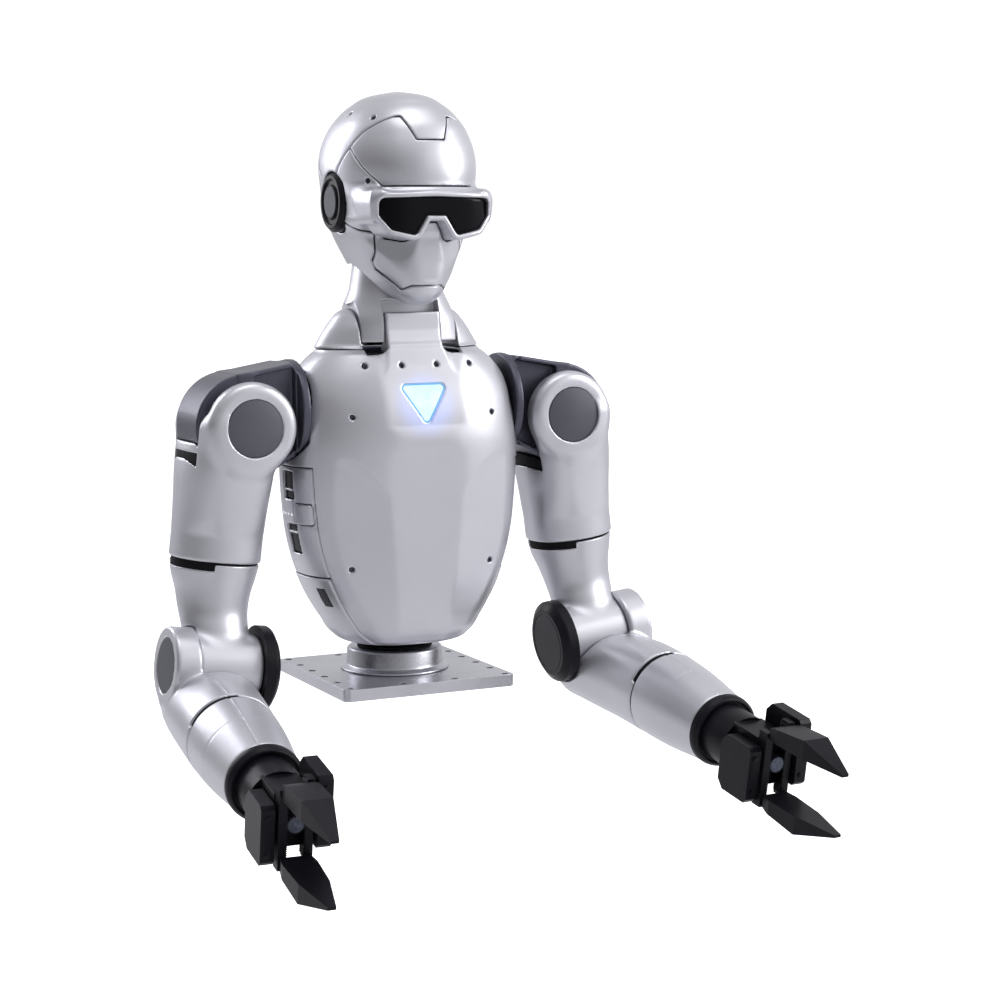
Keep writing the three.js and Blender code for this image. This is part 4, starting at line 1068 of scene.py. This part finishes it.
def keep_nodes():
    """The CAD nodes that need only rounded edges and a material."""
    looks = {"waist_bearing": RUBBER, "waist_rotor": BLACK, "torso_frame": GUNMETAL, "compute_box": BOARD}
    looks |= {"neck_motor": BLACK, "head_core": BLACK}
    for name, _ in SIDES:
        looks |= {f"shoulder_motor_{name}": BLACK, f"shoulder_roll_motor_{name}": BLACK}
        looks |= {f"{part}_{name}": BLACK for part in GRIPPER}
    for node, look in looks.items():
        crisp(node, look, 0.7)
    for name, _ in SIDES:
        crisp(f"pinion_{name}", STEEL, 0.1)


# ---- studio ----
CAMERA_AT = (-0.974, -2.300, 0.497)
CAMERA_AZIMUTH, CAMERA_ELEVATION, CAMERA_ROLL = -25.67, 6.81, -0.32
CAMERA_LENS = 81.8
FLOOR = -0.33
FLOOR_GLOW = 0.86  # lights the floor for the camera only, so that it has no horizon


def heading(azimuth, elevation):
    """The way from the object towards a viewer at this azimuth and elevation."""
    a, e = math.radians(azimuth), math.radians(elevation)
    return Vector((math.sin(a) * math.cos(e), -math.cos(a) * math.cos(e), math.sin(e)))


def build_camera():
    camera = bpy.data.objects.new("camera", bpy.data.cameras.new("camera"))
    bpy.context.scene.collection.objects.link(camera)
    camera.data.lens = CAMERA_LENS
    camera.data.sensor_width = 36
    camera.location = CAMERA_AT
    turn = (-heading(CAMERA_AZIMUTH, CAMERA_ELEVATION)).to_track_quat("-Z", "Y").to_matrix().to_4x4()
    roll = Matrix.Rotation(math.radians(CAMERA_ROLL), 4, "Z")
    camera.matrix_world = Matrix.Translation(CAMERA_AT) @ turn @ roll
    bpy.context.scene.camera = camera


def soft_light(name, azimuth, elevation, distance, width, height, power, tint=(1, 1, 1)):
    """A rectangular softbox that faces the middle of the object."""
    data = bpy.data.lights.new(name, "AREA")
    data.shape = "RECTANGLE"
    data.size, data.size_y, data.energy, data.color = width, height, power, tint
    light = bpy.data.objects.new(name, data)
    bpy.context.scene.collection.objects.link(light)
    back = heading(azimuth, elevation)
    light.location = Vector((0, 0, 0.25)) + back * distance
    light.rotation_mode = "QUATERNION"
    light.rotation_quaternion = back.to_track_quat("Z", "Y")


def build_floor():
    """A white sweep: bright to the camera right up to the horizon, with the object's soft shadow."""
    bpy.ops.mesh.primitive_plane_add(size=60, location=(0, 0, FLOOR))
    floor = bpy.context.object
    floor.name = "floor"
    look, tree, shader = nodes_of("floor")
    wire = tree.links.new
    shader.inputs["Base Color"].default_value = (0.8, 0.8, 0.81, 1)
    shader.inputs["Roughness"].default_value = 0.8
    shader.inputs["Specular IOR Level"].default_value = 0.1
    path = tree.nodes.new("ShaderNodeLightPath")
    seen = tree.nodes.new("ShaderNodeMath")
    seen.operation = "MULTIPLY"
    seen.inputs[1].default_value = FLOOR_GLOW
    wire(path.outputs["Is Camera Ray"], seen.inputs[0])
    lit = tree.nodes.new("ShaderNodeEmission")
    wire(seen.outputs["Value"], lit.inputs["Strength"])
    summed = tree.nodes.new("ShaderNodeAddShader")
    wire(shader.outputs["BSDF"], summed.inputs[0])
    wire(lit.outputs["Emission"], summed.inputs[1])
    wire(summed.outputs["Shader"], tree.nodes["Material Output"].inputs["Surface"])
    floor.data.materials.append(look)


# The room's brightness by bearing: straight ahead of the robot, round by its right, its back and its left.
ROOM = (
    (0.00, 0.42),
    (0.05, 0.30),
    (0.17, 0.07),
    (0.29, 0.16),
    (0.42, 0.55),
    (0.56, 0.80),
    (0.70, 0.80),
    (0.84, 1.30),
    (0.93, 0.90),
    (1.00, 0.42),
)
ROOM_TINT = (0.97, 0.97, 1.0)
CEILING = (0.72, 0.72, 0.75, 1)


def room_by_bearing(tree, part):
    """The room's colour from the compass bearing of a direction."""
    wire = tree.links.new
    bearing = tree.nodes.new("ShaderNodeMath")
    bearing.operation = "ARCTAN2"
    wire(part.outputs["X"], bearing.inputs[0])
    wire(part.outputs["Y"], bearing.inputs[1])
    turn = add_node(tree, "ShaderNodeMapRange", {"From Min": -math.pi, "From Max": math.pi})
    wire(bearing.outputs["Value"], turn.inputs["Value"])
    ramp = tree.nodes.new("ShaderNodeValToRGB")
    ramp.color_ramp.interpolation = "EASE"
    stops = ramp.color_ramp.elements
    while len(stops) < len(ROOM):
        stops.new(1.0)
    for stop, (place, level) in zip(stops, ROOM):
        stop.position = place
        stop.color = (*(level * tint for tint in ROOM_TINT), 1)
    wire(turn.outputs["Result"], ramp.inputs["Fac"])
    return ramp.outputs["Color"]


def build_world():
    """White behind the object; in reflections, a room that is brightest to the robot's front left."""
    world = bpy.data.worlds.new("studio")
    bpy.context.scene.world = world
    world.use_nodes = True
    tree = world.node_tree
    wire = tree.links.new
    where = tree.nodes.new("ShaderNodeTexCoord")
    part = tree.nodes.new("ShaderNodeSeparateXYZ")
    wire(where.outputs["Generated"], part.inputs[0])
    above = add_node(tree, "ShaderNodeMapRange", {"From Min": 0.15, "From Max": 0.95})
    above.interpolation_type = "SMOOTHSTEP"
    wire(part.outputs["Z"], above.inputs["Value"])
    mixed = tree.nodes.new("ShaderNodeMix")
    mixed.data_type = "RGBA"
    mixed.inputs["B"].default_value = CEILING
    wire(above.outputs["Result"], mixed.inputs["Factor"])
    wire(room_by_bearing(tree, part), mixed.inputs["A"])
    room = tree.nodes["Background"]
    room.inputs["Strength"].default_value = 0.95
    wire(mixed.outputs["Result"], room.inputs["Color"])
    seen = add_node(tree, "ShaderNodeBackground", {"Color": (1, 1, 1, 1), "Strength": 1.1})
    path = tree.nodes.new("ShaderNodeLightPath")
    mix = tree.nodes.new("ShaderNodeMixShader")
    wire(path.outputs["Is Camera Ray"], mix.inputs["Fac"])
    wire(room.outputs["Background"], mix.inputs[1])
    wire(seen.outputs["Background"], mix.inputs[2])
    wire(mix.outputs["Shader"], tree.nodes["World Output"].inputs["Surface"])


def build_studio():
    build_world()
    build_floor()
    soft_light("key", 55, 24, distance=2.3, width=0.9, height=1.3, power=26)
    soft_light("top", 10, 78, distance=2.2, width=1.4, height=1.2, power=12)
    soft_light("rim", -150, 24, distance=2.2, width=0.6, height=1.4, power=14, tint=(0.94, 0.95, 1))
    bpy.context.scene.view_settings.view_transform = "Standard"


build_camera()
build_torso()
build_neck()
build_head()
build_ears()
for side_name, side_sign in SIDES:
    build_arm(side_name, side_sign)
build_base()
keep_nodes()
build_studio()
